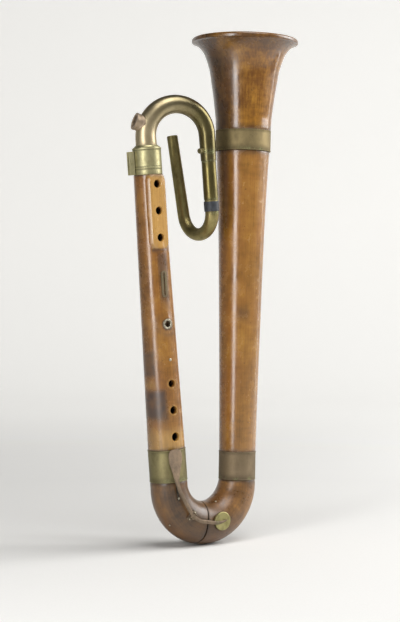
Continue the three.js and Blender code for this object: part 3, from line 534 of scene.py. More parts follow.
def brass(name, clean, hazed, tarnish, marks, patch_mm, rough, tarnished, browned=None):
    """Rough is the clean and the dull roughness. Browned is from where, to where, colour."""
    material, tree, shader, flow, grime_and_shade, wear = new_material(name, "flow", "grime_and_shade", "wear")
    low, high = rough
    haze = cloud(tree, flow, patch_mm * 3, 5.0)
    patches = cloud(tree, flow, patch_mm, 6.0, (1, 1, 0.6), 0.7)
    specks = cloud(tree, flow, SPECK, 3.0, rough=0.7)
    scratches = cloud(tree, flow, SCRATCH, 2.0, marks, 0.8)
    ground = add(tree, "ValToRGB", [haze], stops=((0.35, hazed), (0.62, clean)))
    edge = 0.66 - 0.36 * tarnished
    cover = add(tree, "MapRange", [patches, edge, edge + 0.2])
    washes = [(add(tree, "Math", [cover, 0.8], operation="MULTIPLY"), tarnish),
              (add(tree, "MapRange", [scratches, 0.6, 0.8, 0.0, 0.25]), hazed),
              (add(tree, "MapRange", [specks, 0.64, 0.72, 0.0, 0.5]), "#3a2f1a")]
    if browned:
        start, end, brown = browned
        place = add(tree, "SeparateXYZ", [flow], "Z")
        ageing = add(tree, "MapRange", [place, start * MM, end * MM, 0.0, 0.92])
        washes.append((ageing, brown))
    # This dark wash is dirt, and on the sides of the ferrules and the slide also painted shade
    dirt_and_shade = add(tree, "MapRange", [specks, 0.3, 0.6, 0.9, 0.6])
    dirt_and_shade = add(tree, "Math", [grime_and_shade, dirt_and_shade], operation="MULTIPLY")
    # Verdigris grows where dirt holds damp, in pale green crumbs
    damp = add(tree, "MapRange", [grime_and_shade, 0.3, 0.6])
    green = add(tree, "MapRange", [patches, 0.46, 0.58])
    green = add(tree, "Math", [damp, green], operation="MULTIPLY")
    crumbs = add(tree, "MapRange", [specks, 0.46, 0.54, 0.0, 0.7])
    crumbs = add(tree, "Math", [green, crumbs], operation="MULTIPLY")
    edges = add(tree, "NewGeometry", output="Pointiness")
    edges = add(tree, "MapRange", [edges, 0.54, 0.62, 0.0, 0.35])
    bright = add(tree, "Math", [wear, edges], operation="MAXIMUM")
    washes += [(dirt_and_shade, "#2b2418"), (crumbs, "#9fa274"), (bright, clean)]
    tree.links.new(washed(tree, ground, *washes), shader.inputs["Base Color"])
    gloss = add(tree, "MapRange", [scratches, 0.3, 0.7, low, low + (high - low) * 0.5])
    dulled = add(tree, "Math", [cover, (high - low) * 0.6], operation="MULTIPLY")
    gloss = add(tree, "Math", [gloss, dulled], operation="ADD")
    dusty = add(tree, "Math", [grime_and_shade, 0.2], operation="MULTIPLY")
    gloss = add(tree, "Math", [gloss, dusty], operation="ADD")
    if browned:
        smoother = add(tree, "Math", [ageing, 0.18], operation="MULTIPLY")
        gloss = add(tree, "Math", [gloss, smoother], operation="SUBTRACT")
    tree.links.new(gloss, shader.inputs["Roughness"])
    skin = add(tree, "Bump", {"Height": scratches, "Distance": 0.01 * MM})
    waves = cloud(tree, flow, HAMMER_WAVE, 2.0)
    skin = add(tree, "Bump", {"Height": waves, "Distance": 0.2 * MM, "Normal": skin})
    tree.links.new(skin, shader.inputs["Normal"])
    # Tarnish is a thin skin of oxide, so it is less of a mirror than the metal below
    oxide = add(tree, "Math", [cover, 0.35 * tarnished], operation="MULTIPLY")
    metal = add(tree, "Math", [1.0, oxide], operation="SUBTRACT")
    soil_and_shade = add(tree, "Math", [dirt_and_shade, 0.3], operation="MULTIPLY")
    metal = add(tree, "Math", [metal, soil_and_shade], operation="SUBTRACT")
    tree.links.new(metal, shader.inputs["Metallic"])
    return material


print("brass marks in mm:", SCRATCH, SPECK, HAMMER_WAVE)

# %% Brass in ten states
# Top ferrule and its saddle: pale and greenish, the brightest brass on the horn
SOCKET_BRASS = brass("handled_socket_brass", "#bdb68e", "#a59f77", "#847e59", ROUND_MARKS,
                     18.0, (0.42, 0.54), 0.4)
# Left butt ferrule: the same sheet gone dull and olive
FERRULE_BRASS = brass("dulled_ferrule_brass", "#9b926a", "#827957", "#685f43", ROUND_MARKS,
                      34.0, (0.42, 0.54), 0.55)
# Right butt ferrule and slit plate: an even brown oxide that hardly shines
BROWN_BRASS = brass("browned_ferrule_brass", "#93826a", "#83745c", "#71634e", ROUND_MARKS,
                    34.0, (0.58, 0.68), 0.5)
# Neck ferrule: between the two, matt olive
NECK_BRASS = brass("olive_neck_brass", "#958561", "#807251", "#6a5e43", ROUND_MARKS,
                   34.0, (0.6, 0.7), 0.5)
# Crook: a warm haze at the vent that ends in shiny brown along the drawn tube
CROOK_BRASS = brass("hazed_crook_brass", "#cdbd9c", "#b5a584", "#918466", LONG_MARKS,
                    26.0, (0.38, 0.5), 0.5, (66, 195, "#625a36"))
# Vent: cast and never polished, a greyed pink without a sharp highlight
VENT_BRASS = brass("greyed_vent_brass", "#c0ab94", "#a8957f", "#8c7c69", ROUND_MARKS,
                   12.0, (0.44, 0.58), 0.6)
# Slide and clamp: dark olive, still smooth enough for a thin bright line
TUBE_BRASS = brass("olive_tube_brass", "#857a4c", "#655c3a", "#4a432a", LONG_MARKS,
                   20.0, (0.3, 0.42), 0.5)
# Mouthpipe: a lighter olive with a soft shine
PIPE_BRASS = brass("olive_pipe_brass", "#ab9d6a", "#8a7f52", "#6a603e", LONG_MARKS,
                   16.0, (0.36, 0.48), 0.5)
# Key and its saddle: filed by hand, pinkish brown and dry
KEY_BRASS = brass("filed_key_brass", "#a8937c", "#8f7d6b", "#756656", LONG_MARKS,
                  10.0, (0.46, 0.6), 0.75)
# Pad cup: turned sheet, yellow-green against the brown key
CUP_BRASS = brass("green_cup_brass", "#bdb580", "#a69e6b", "#847c52", ROUND_MARKS,
                  8.0, (0.4, 0.55), 0.5)
BRASSES = (SOCKET_BRASS, FERRULE_BRASS, BROWN_BRASS, NECK_BRASS, CROOK_BRASS, VENT_BRASS,
           TUBE_BRASS, PIPE_BRASS, KEY_BRASS, CUP_BRASS)
print("brasses:", *(made.name for made in BRASSES))

# %% [markdown]
# ## Steel, leather and thread
# Pin and spring are blued steel gone brown-black, and the screws' heads are rubbed pale.
# The band on the mouthpipe is waxed black leather and the key's pad is soft tan leather,
# both with a fine pebble. The tenons are wound with waxed linen thread about 0.8 mm
# thick, whose turns are modelled. One recipe serves all: two clouds of tone, grime, pale
# edges and a fine bump, with the colours and grain of each real finish.

# %% Blued steel, waxed leather, pad leather and linen thread
def plain_finish(name, dark, pale, grain_mm, rough, depth_mm, metallic=0.0, sheen=0.0):
    material, tree, shader, flow, grime_and_shade = new_material(name, "flow", "grime_and_shade")
    fine = cloud(tree, flow, grain_mm, 4.0, rough=0.7)
    broad = cloud(tree, flow, grain_mm * 9, 3.0)
    tone = add(tree, "Math", [fine, broad], operation="ADD")
    tone = add(tree, "Math", [tone, 0.5], operation="MULTIPLY")
    ground = add(tree, "ValToRGB", [tone], stops=((0.38, dark), (0.62, pale)))
    dirt_and_shade = add(tree, "Math", [grime_and_shade, 0.7], operation="MULTIPLY")
    edges = add(tree, "NewGeometry", output="Pointiness")
    edges = add(tree, "MapRange", [edges, 0.53, 0.6, 0.0, 0.5])
    colour = washed(tree, ground, (dirt_and_shade, "#120d09"), (edges, pale))
    tree.links.new(colour, shader.inputs["Base Color"])
    gloss = add(tree, "MapRange", [fine, 0.3, 0.7, rough - 0.08, rough + 0.08])
    tree.links.new(gloss, shader.inputs["Roughness"])
    skin = add(tree, "Bump", {"Height": fine, "Distance": depth_mm * MM})
    tree.links.new(skin, shader.inputs["Normal"])
    shader.inputs["Metallic"].default_value = metallic
    shader.inputs["Sheen Weight"].default_value = sheen
    return material


# The first number is the grain in mm: rust freckles 1.2 and leather pebble 1.1 or 1.4.
# Linen fibres are finer than 0.1 mm, too fine to show, so they are drawn at 0.5.
# Hinge pin and leaf spring: blued by heat, brown-black with a dark shine
BLUED_STEEL = plain_finish("blued_steel", "#2f2b27", "#6b645a", 1.2, 0.42, 0.01, 1.0)
# Screw heads and bush: steel rubbed bare, a pale and slightly yellow grey that gleams
WORN_STEEL = plain_finish("worn_steel", "#8f8876", "#d8d0ba", 1.2, 0.36, 0.01, 1.0)
# Band of the mouthpipe: hide dyed black and waxed, with a satin bloom
WAXED_LEATHER = plain_finish("waxed_leather", "#1c1e22", "#3b3f46", 1.1, 0.55, 0.06)
# Pad of the key: thin soft leather, tan and quite matt
PAD_LEATHER = plain_finish("tan_pad_leather", "#6e5334", "#a3835a", 1.4, 0.8, 0.05, 0.0, 0.2)
# Windings of the tenons: waxed linen, straw brown with a faint fuzz
LINEN_THREAD = plain_finish("linen_thread", "#8a7448", "#c3ac7a", 0.5, 0.85, 0.03, 0.0, 0.2)
print("small finishes:", BLUED_STEEL.name, WAXED_LEATHER.name, PAD_LEATHER.name)

# %% [markdown]
# ## Frames of the pieces
# The horn leans, and each group of pieces has its own straight frame: the fingered limb
# leans 4.56 degrees to the left, the bell limb 1.33 degrees to the right, and the crook
# is swung 15.3 degrees to the front on its socket. A piece is shaped upright in its own
# frame in millimetres and then put in place, rides on its body and takes its paint.

# %% Where the groups stand
def placed_at(x, y, z, angle=0.0, axis="Z"):
    return Matrix.Translation((x * MM, y * MM, z * MM)) @ Matrix.Rotation(angle, 4, axis)


FINGERED_LEAN, BELLED_LEAN = math.radians(4.56), math.radians(1.33)
CROOK_LEAN, MOUTHPIPE_AZIMUTH = math.radians(-15.3), math.radians(109.8)
# Butt: the bend's radius and its height over the floor, the wood's radius at the ends and
# in the middle, and the straight runs under the two limbs
BUTT_RADIUS, BUTT_HEIGHT = 74.6, 38.7
BUTT_END, BUTT_MIDDLE = 33.2, 38.6
FINGERED_RISE, BELLED_RISE = 69, 51.5
BUTT_CENTRE = BUTT_RADIUS + BUTT_HEIGHT
# Fingered limb: its head, and the top ferrule that stands a little higher
HEAD, TOP_HEIGHT = 599.3, 46.6
FERRULE_FOOT = HEAD - 44.7
FERRULE_HEAD = FERRULE_FOOT + TOP_HEIGHT
# Crook: its tenon, the rise to the bend, the bend's radius and the sleeve for the slide
CROOK_TENON, CROOK_RISE, CROOK_BEND, CROOK_SLEEVE = 40, 17.5, 57.3, 46
SLIDE_DROP = 69


def limb_foot(side, lean):
    x = side * BUTT_RADIUS * math.cos(lean)
    z = BUTT_CENTRE - BUTT_RADIUS * math.sin(lean)
    return x, z


# The horn as a whole is shifted, so that its middle is over the origin and its foot on 0
HORN = placed_at(-16.5794, 0, -0.0943)
FINGERED_X, FINGERED_Z = limb_foot(-1, FINGERED_LEAN)
BELLED_X, BELLED_Z = limb_foot(1, BELLED_LEAN)
FINGERED = HORN @ placed_at(FINGERED_X, 0, FINGERED_Z, -FINGERED_LEAN, "Y")
BELLED = HORN @ placed_at(BELLED_X, 0, BELLED_Z, BELLED_LEAN, "Y")
CROOK = FINGERED @ placed_at(0, 0, FERRULE_HEAD + 0.3, CROOK_LEAN)
SLIDE = CROOK @ placed_at(2 * CROOK_BEND, 0, CROOK_RISE - CROOK_SLEEVE - SLIDE_DROP)
MOUTHPIPE = SLIDE @ placed_at(0, 0, 0, MOUTHPIPE_AZIMUTH)
print("slide's foot in mm:", [round(v / MM, 1) for v in SLIDE.translation])

# %% Finishing a piece: paint, material, place, body and replaced nodes
def finished(piece, name, body, nodes, material, where,
             route=None, grime_and_shade=0.0, wear=0.0, sharp=38):
    piece.name = piece.data.name = name
    mesh = piece.data
    points = np.empty(len(mesh.vertices) * 3)
    mesh.vertices.foreach_get("co", points)
    points = points.reshape(-1, 3) / MM
    flow = route.straightened(points) if route else points
    paint = mesh.attributes.new("flow", "FLOAT_VECTOR", "POINT")
    paint.data.foreach_set("vector", (flow * MM).ravel())
    around = np.arctan2(flow[:, 1], flow[:, 0])
    reach = np.hypot(flow[:, 0], flow[:, 1])
    for label, rule in (("grime_and_shade", grime_and_shade), ("wear", wear)):
        amount = rule(flow[:, 2], around, reach) if callable(rule) else rule
        paint = mesh.attributes.new(label, "FLOAT", "POINT")
        paint.data.foreach_set("value", np.clip(amount, 0, 1) * np.ones(len(flow)))
    mesh.shade_smooth()
    mesh.set_sharp_from_angle(angle=math.radians(sharp))
    mesh.materials.clear()
    mesh.materials.append(material)
    piece.matrix_world = where
    if body:
        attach(piece, body)
    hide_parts(*nodes)
    print(name, len(mesh.vertices), "points")
    return piece


# %% Rules for paint: how much at a place along the tube, a direction round it, a reach
def most(*amounts):
    return np.max(amounts, 0)


def near(values, *spots):
    """1 at each (place, reach) spot and 0 past its reach."""
    return most(*(np.exp(-((values - place) / reach) ** 2) for place, reach in spots))


def smooth(values, low, high):
    """0 below low, 1 above high, and a soft step between them."""
    t = np.clip((values - low) / (high - low), 0, 1)
    return t * t * (3 - 2 * t)


def soft_stretch(values, low, start, end, high):
    """0 up to low, 1 from start to end, and 0 again past high."""
    return smooth(values, low, start) * (1 - smooth(values, end, high))


def toward(around, degrees, full, clear):
    """1 within full degrees of a direction round the tube, 0 past clear degrees."""
    away = np.degrees(np.arccos(np.cos(around - math.radians(degrees))))
    return 1 - smooth(away, full, clear)


def shaded_sides(around, front=-125):
    """Painted shade: 0 round the front left, and 1 on the sides and back, which it darkens."""
    return 1 - toward(around, front, 42, 84)


print("halfway through a soft step:", float(smooth(0.5, 0, 1)))

# %% [markdown]
# ## The fingered limb
# This limb is one turned cone with a socket at its head. Along its front the maker left
# a raised flat, like a long pad with round ends, so that three finger holes lie level
# under the fingers. It is turned as a profile, the pad is joined on with the boolean
# modifier, and the holes are drilled with cutters that flare at the mouth, because
# fingers wear the rim of a hole smooth. Smoke has darkened the side above the ferrule.

# %% Measures of the fingered limb
SHOULDER, LIMB_LENGTH, LIMB_TOP = FINGERED_RISE + 0.3, 530, FERRULE_FOOT - 0.3
FOOT_RADIUS, HEAD_RADIUS, NECK_RADIUS = 33, 26, 23.8
TENON_END, TENON_RADIUS, LIMB_BORE = 25.3, 27, (21.5, 17)
SOCKET_FLOOR, SOCKET_RADIUS = 556.3, 18.6
PAD_WIDTH, PAD_LENGTH, PAD_RISE, PAD_CORNER, PAD_DEPTH = 30, 129, 0.9, 12.5, 9.5
# The pad's chamfered side: how far it is drawn in at each height of its block
PAD_SIDES = [(-5, 0), (-5, 2.8), (-4.4, 3.9), (-1.1, 8.1), (-0.5, 8.8), (0.2, 9.25),
             (1.2, PAD_DEPTH)]
SLOPE = math.atan2(FOOT_RADIUS - HEAD_RADIUS, LIMB_LENGTH)


def limb_radius(z):
    share = (z - SHOULDER) / (FERRULE_FOOT - SHOULDER)
    return FOOT_RADIUS + (HEAD_RADIUS - FOOT_RADIUS) * share


def on_slope(piece, depth, z):
    """Turn a flat piece to the front, lean it with the limb's taper and set its depth."""
    return moved(piece, 0, depth, z, [(UP + SLOPE, "X")])


pad_middle = FERRULE_FOOT - 1.5 - PAD_LENGTH / 2
pad_face = limb_radius(pad_middle) + PAD_RISE
bush_height = SHOULDER + LIMB_LENGTH * 0.4187
slot_height = SHOULDER + LIMB_LENGTH * 0.5517
print("pad's middle is at", round(pad_middle, 1), "mm and its face at", round(pad_face, 1))

# %% Turn the limb and raise its pad
limb = turned("fingered_limb", eased([
    (TENON_END, LIMB_BORE[0]), (TENON_END, TENON_RADIUS), (SHOULDER, TENON_RADIUS),
    (SHOULDER, FOOT_RADIUS), (LIMB_TOP, HEAD_RADIUS), (LIMB_TOP, NECK_RADIUS),
    (HEAD, NECK_RADIUS), (HEAD, SOCKET_RADIUS), (SOCKET_FLOOR, SOCKET_RADIUS),
    (SOCKET_FLOOR, LIMB_BORE[1]),
], 0.9), sides=128, reach=3.0)


def swelling(x, z):
    """The wood has swollen 2 mm round the bush and sunk 0.9 mm beside the plate."""
    round_bush = np.exp(-((x / 14) ** 2 + ((z - bush_height) / 16) ** 2)) * 2.0
    beside_plate = np.exp(-((x / 11) ** 2)) * 0.9
    from_plate = z - slot_height
    return round_bush - beside_plate * soft_stretch(from_plate, -45, -5, 20, 55)


for vert in limb.data.vertices:
    x, y, z = vert.co / MM
    reach = math.hypot(x, y)
    on_wall = SHOULDER + 2 < z < FERRULE_FOOT - 2 and reach > limb_radius(z) - 0.5
    if y < 0 and on_wall:
        grow = 1 + float(swelling(x, z)) / reach
        vert.co.x, vert.co.y = x * grow * MM, y * grow * MM
corners = [(side * PAD_WIDTH / 2, end * PAD_LENGTH / 2)
           for side, end in ((1, -1), (1, 1), (-1, 1), (-1, -1))]
pad = levelled("pad", np.array(eased(corners, PAD_CORNER, steps=12)), PAD_SIDES)
pad = on_slope(pad, PAD_DEPTH - pad_face, pad_middle)
pad = fitted(pad, rod(40, LIMB_TOP, FERRULE_FOOT + 20, 96))
limb = fitted(limb, pad, "UNION")
print("limb with its pad:", len(limb.data.vertices), "points")

# %% Drill the holes and sink the seats
HOLE_STEPS = (-47, 0, 47)
UPPER_HOLE, LOWER_HOLE = 6.7, 6.5
BUSH_BORE, BUSH_SEAT, BUSH_DEPTH, SCREW_HOLE = 5.3, 9.5, 9, 1.68
upper_holes = [pad_middle + 1.7 + step for step in HOLE_STEPS]
lower_holes = [SHOULDER + LIMB_LENGTH * 0.1317 + step for step in HOLE_STEPS]
screw_height = SHOULDER + LIMB_LENGTH * 0.3
bush_face = limb_radius(bush_height) + 1.9
plate_face = limb_radius(slot_height)
screw_face = limb_radius(screw_height) + 0.15


def flared_drill(radius, z, face):
    profile = [(0, 0), (0, radius), (face - 3, radius), (face - 1, radius + 0.25),
               (face, radius + 1), (face + 9, radius + 9), (face + 9, 0)]
    return to_front(turned("drill", profile, sides=48), 0, z)


cutters = []
for upper, lower, growth in zip(upper_holes, lower_holes, (1.1, 1.02, 0.92)):
    cutters.append(flared_drill(UPPER_HOLE, upper, pad_face))
    cutters.append(flared_drill(LOWER_HOLE * growth, lower, limb_radius(lower) - 0.4))
cutters.append(to_front(rod(BUSH_BORE, 0, bush_face - BUSH_DEPTH), 0, bush_height))
bush_seat = rod(BUSH_SEAT, bush_face - BUSH_DEPTH - 0.3, bush_face + 6)
cutters.append(to_front(bush_seat, 0, bush_height))
plate_seat = prism("seat", stadium(12.1, 47.6), 12, 0.1)
cutters.append(on_slope(plate_seat, 1.9 - plate_face, slot_height))
screw_hole = rod(SCREW_HOLE, screw_face - 5.3, screw_face + 4)
cutters.append(to_front(screw_hole, 0, screw_height))
limb = fitted(limb, joined(cutters))
print("finger holes at", [round(z) for z in lower_holes + upper_holes], "mm up the limb")

# %% Smoke, dirt, painted shade and wear on the fingered limb
# Places are in mm up the limb and directions in degrees round it: -90 is the front and
# -180 the left. The last number of a line says how strong the mark is, from 0 to 1.
def limb_grime_and_shade(z, around, reach):
    across, front = reach * np.cos(around), (np.sin(around) < 0) * 1.0
    pad_end = pad_middle - PAD_LENGTH / 2
    upper = toward(around, -190, 40, 54) * soft_stretch(z, 190, 206, 236, 262) * 0.8
    lower = toward(around, -168, 44, 66) * soft_stretch(z, 112, 132, 170, 182) * 0.85
    ends = near(z, (SHOULDER, 4), (FERRULE_FOOT, 5)) * 0.7
    beside_plate = soft_stretch(z, slot_height - 62, slot_height - 20, pad_end - 12, pad_end)
    beside_plate *= front * (1 - smooth(np.abs(across), 6, 13)) * 0.6
    # Painted shadow under the pad's lower end, and painted shade in the crease round the pad's
    # outline
    pad_foot = front * near(z, (pad_end - 2.5, 3)) * (np.abs(across) < 17) * 0.7
    past_corner = np.maximum([np.abs(across) - PAD_WIDTH / 2 + 9, pad_end - z + 9,
                              z - pad_middle - PAD_LENGTH / 2 + 9], 0)
    from_pad = np.hypot(past_corner[0], most(*past_corner[1:])) - 9
    beside_pad = front * near(from_pad, (2.6, 1.5)) * 0.45
    from_bush = np.hypot(across, z - bush_height)
    at_bush = front * near(from_bush, (10.2, 1.6)) * 0.7
    # The wider ring at the foot of the swelling round the bush is painted shade
    round_bush = at_bush + front * near(from_bush, (19, 5)) * 0.25
    inside = (reach < limb_radius(z) - 4) * 0.9
    # Painted shade darkens the left side, away from the light
    shaded_far_side = toward(around, -200, 25, 72) * 0.45
    return most(upper, lower, ends, shaded_far_side, beside_plate, pad_foot, beside_pad, round_bush,
                inside)


def limb_wear(z, around, reach):
    across = reach * np.cos(around)
    front = (np.sin(around) < 0) * (reach > limb_radius(z) - 3.5)
    on_pad = front * (np.abs(across) < PAD_WIDTH / 2 + 2)
    on_pad = on_pad * smooth(z, pad_middle - 66, pad_middle - 62) * 0.72
    foot = toward(around, -125, 60, 95) * soft_stretch(z, 66, 72, 92, 116) * 0.6
    between = toward(around, -195, 40, 60) * near(z, (186, 8)) * 0.45
    rims = most(*(near(np.hypot(across, z - hole), (7.8, 1.1))
                  for hole in upper_holes + lower_holes))
    return most(on_pad, foot, between, front * rims * 0.5)


finished(limb, "turned_fingered_limb", "horn", ["fingered_limb"], LIMB_WOOD,
         FINGERED, grime_and_shade=limb_grime_and_shade, wear=limb_wear)

# %% [markdown]
# ## Fittings on the fingered limb
# A thin brass plate with a long slit is let into the wood, a brass bush lines the tone
# hole, and one screw is left from a lost key. The plate is a prism with its slit cut
# through. The bush is turned, with a round lip that the wood swells up to. The screws
# are turned too and get their slots cut, because a screw without a slot is a nail.

# %% Slot plate, bush and screws
plate = prism("plate", stadium(11.5, 47), 1.6, 0.3, 3)
plate = fitted(plate, moved(prism("slit", stadium(2.6, 41), 6, 0.1), 0, 0, -2))
plate = on_slope(plate, 1.6 - plate_face, slot_height)
finished(plate, "slit_plate", "horn", ["slot_plate"], BROWN_BRASS, FINGERED,
         grime_and_shade=0.4)
bush = to_front(turned("bush", eased([
    (bush_face - BUSH_DEPTH, BUSH_BORE), (bush_face - BUSH_DEPTH, 9.2), (bush_face - 0.7, 9.2),
    (bush_face, 8.4), (bush_face, 6.4), (bush_face - 1.2, BUSH_BORE),
], 0.6), sides=64, reach=2.0), 0, bush_height)
finished(bush, "turned_bush", "horn", ["tone_hole_bush"], WORN_STEEL, FINGERED,
         grime_and_shade=0.2)


def screw(radius, face, slot_turn=0.4):
    shank, neck, crown = radius * 0.6, face + 0.45, face + 1
    shape = turned("screw", eased([
        (face - 5, 0), (face - 5, shank), (face, shank), (face, radius), (neck, radius),
        (crown, radius * 0.55), (crown, 0),
    ], 0.25, loop=False), sides=40, reach=1.0)
    long, wide = radius * 1.5, radius * 0.16
    blade = block("blade", (-long, -wide, face + 0.4), (long, wide, face + 5), 0.02)
    return fitted(shape, moved(blade, turns=[(slot_turn, "Z")]))


def wood_screw(shape, name, node, where=HORN):
    return finished(shape, name, "horn", [node], WORN_STEEL, where)


wood_screw(to_front(screw(2.6, screw_face), 0, screw_height), "left_over_screw", "limb_screw",
           FINGERED)

# %% [markdown]
# ## Thread on the tenons
# Each tenon is wound with thread so that it seals in its socket. Nobody sees it until
# the horn is taken apart, but it is there, so each winding is a ring with one round
# ridge for each turn of thread.

# %% Thread windings
THREAD = 0.8


def winding(tenon, body, inner, outer, start, end, where):
    turns, root = round((end - start) / THREAD), outer - THREAD / 2
    pitch = (end - start) / turns
    outline = [(start, inner), (start, root)]
    for i in range(turns):
        for t in (0.2, 0.5, 0.8):
            rise = THREAD / 2 * math.sin(math.pi * t)
            outline.append((start + pitch * (i + t), root + rise))
    outline += [(end, root), (end, inner)]
    ring = turned("winding", outline, sides=64, reach=9)
    finished(ring, "thread_on_" + tenon, body, [tenon + "_lapping"], LINEN_THREAD,
             where)


winding("fingered_tenon", "horn", 27.3, 28.4, 31.3, 63.3, FINGERED)
winding("belled_tenon", "horn", 27.3, 28.4, 13.8, 45.8, BELLED)
winding("bell_tenon", "horn", 44.3, 45.3, 603.8, 625.8, BELLED)
winding("crook_tenon", "crook", 17.7, 18.3, -34, -7.6, CROOK)

# %% [markdown]
# ## Bell limb and bell
# The second limb widens slowly, then the bell is a separate turned piece that opens to
# 194 mm. Its outline in the photograph is a flowing curve that ends in a rolled lip, so
# the measured radii are joined by a smooth curve. Inside it is hollow to the butt.

# %% Bell limb
BELL_LIMB_FOOT, BELL_LIMB_HEAD, BELL_LIMB_LENGTH = 51.8, 597.8, 546
LOW_TENON_END, HIGH_TENON_END, HIGH_TENON_RADIUS = 7.8, 631.8, 44
BELL_FOOT = BELLED_RISE + 0.6 + BELL_LIMB_LENGTH
# How far up, and how much of the 15.3 mm that the limb grows has been reached there
GROWTH = [(0, 0), (0.2, 0.12), (0.4, 0.28), (0.6, 0.45), (0.75, 0.6), (0.87, 0.76), (1, 1)]
side = flowing([(BELL_LIMB_FOOT + BELL_LIMB_LENGTH * rise, 33.3 + 15.3 * grow)
                for rise, grow in GROWTH], 8)
low_end = eased([
    (LOW_TENON_END, 22.5), (LOW_TENON_END, TENON_RADIUS), (BELL_LIMB_FOOT, TENON_RADIUS),
    side[0], side[3],
], 0.9, loop=False)
high_end = eased([
    side[-3], side[-1], (BELL_LIMB_HEAD, HIGH_TENON_RADIUS),
    (HIGH_TENON_END, HIGH_TENON_RADIUS), (HIGH_TENON_END, 38),
], 0.9, loop=False)
bell_limb = turned("bell_limb", [*low_end[:-1], *side[3:-3], *high_end[1:]], sides=128)


def bell_limb_grime_and_shade(s, around, reach):
    ends = near(s, (BELL_LIMB_FOOT, 5), (BELL_LIMB_HEAD, 7)) * 0.6
    right = 0.25 * near(s, (330, 60)) * smooth(np.cos(around), -0.2, 0.9)
    bruise = 0.45 * near(s, (303, 13)) * toward(around, -117, 8, 26)
    # Painted shade darkens the left side, away from the light
    shaded_far_side = 0.35 * toward(around, -205, 20, 62)
    return most(ends, right, bruise, shaded_far_side, (reach < 32) * 0.9)


def bell_limb_wear(s, around, reach):
    foot = 0.35 * near(s, (90, 30)) * smooth(np.cos(around), 0, 0.8)
    return most(foot, 0.12 * toward(around, -85, 20, 70))


finished(bell_limb, "turned_bell_limb", "horn", ["bell_limb"], LIMB_WOOD, BELLED,
         grime_and_shade=bell_limb_grime_and_shade, wear=bell_limb_wear)

# %% Bell
BELL_HEIGHT, BELL_SEAT, BELL_NECK, BELL_RIM = 206, 38.3, 49.3, 96.9
BELL_SOCKET, BELL_THROAT = 45.6, 39.5
# How far up the bell, and how much of its growth from neck to rim has been reached there
FLARE = [(0.29, 0.04), (0.4, 0.098), (0.5, 0.155), (0.6, 0.222), (0.7, 0.29), (0.765, 0.365),
         (0.82, 0.445), (0.872, 0.54), (0.92, 0.7), (0.955, 0.88)]
LIP = [(0, 1), (0.3, 1.006), (0.7, 1.004), (1, 0.978), (1, 0.96)]
MOUTH = [(0.967, 1), (0.935, 0.84), (0.89, 0.67), (0.83, 0.53), (0.75, 0.4), (0.62, 0.28),
         (0.42, 0.16), (0.19, 0)]
seat_top, socket_floor = BELL_FOOT + BELL_SEAT, HIGH_TENON_END + 0.3
outside = flowing([(BELL_FOOT + BELL_HEIGHT * up, BELL_NECK + (BELL_RIM - BELL_NECK) * out)
                   for up, out in FLARE])
lip = eased([(BELL_FOOT + 198 + 7.9 * up, BELL_RIM * out) for up, out in LIP], 2.4, loop=False)
inside = flowing([(BELL_FOOT + BELL_HEIGHT * up, BELL_THROAT + 52 * out) for up, out in MOUTH])
bell = turned("bell", [
    (BELL_FOOT, BELL_SOCKET), (BELL_FOOT, 49), (seat_top, 49), (seat_top, 50.1),
    (BELL_FOOT + 39, 50.5), *outside, *lip, *inside, (socket_floor, BELL_THROAT),
    (socket_floor, BELL_SOCKET),
], sides=160, reach=3.5)


def bell_grime_and_shade(s, around, reach):
    neck = near(s, (BELL_FOOT + 40, 7)) * 0.6
    rim = 0.5 * smooth(s, BELL_FOOT + 168, BELL_FOOT + 196)
    # The third mark darkens the left side as painted shade
    return most(neck, rim, 0.8 * toward(around, -205, 32, 84), 0.5 * (reach < 30))


def bell_wear(s, around, reach):
    return 0.5 * near(s, (BELL_FOOT + 205, 2.2)) * smooth(reach, 90, 95)


finished(bell, "turned_bell", "horn", ["bell"], BELL_WOOD, BELLED,
         grime_and_shade=bell_grime_and_shade, wear=bell_wear)

# %% [markdown]
# ## The butt
# Two bent elbows carry the sound round the bottom. They are swept along one route and
# meet at a seam, where the wood has shrunk and a dark line shows. The butt is thicker in
# the middle of the bend. A flat is cut for the key's pad, with the tone hole under it.

# %% Route of the butt and the swelling of its bend
FERRULE_BORE, LEFT_FERRULE, RIGHT_FERRULE = 32.2, 57, 51
BUTT_BORE, BUTT_SOCKET, SOCKET_DEPTH = 22, 28.7, 45
SEAM_TENON, SEAM_SOCKET, SEAM_DEPTH, GAP = 28.5, 28.8, 14, 0.3
foot_x = FINGERED_X - FINGERED_RISE * math.sin(FINGERED_LEAN)
foot_z = FINGERED_Z + FINGERED_RISE * math.cos(FINGERED_LEAN)
butt_turn = math.pi - FINGERED_LEAN - BELLED_LEAN
butt = Route(foot_x, foot_z, FINGERED_LEAN - UP)
butt.line(FINGERED_RISE).bend(BUTT_RADIUS, butt_turn).line(BELLED_RISE)
bend_length = BUTT_RADIUS * butt_turn
seam = FINGERED_RISE + bend_length * 0.42


def butt_radius(s):
    share = np.clip((s - FINGERED_RISE) / bend_length, 0, 1)
    return BUTT_END + (BUTT_MIDDLE - BUTT_END) * np.sin(math.pi * share)


def butt_side(start, end):
    return [(s, butt_radius(s)) for s in np.linspace(start, end, 40)]


print("seam at", round(seam, 1), "of", round(butt.length, 1), "mm")

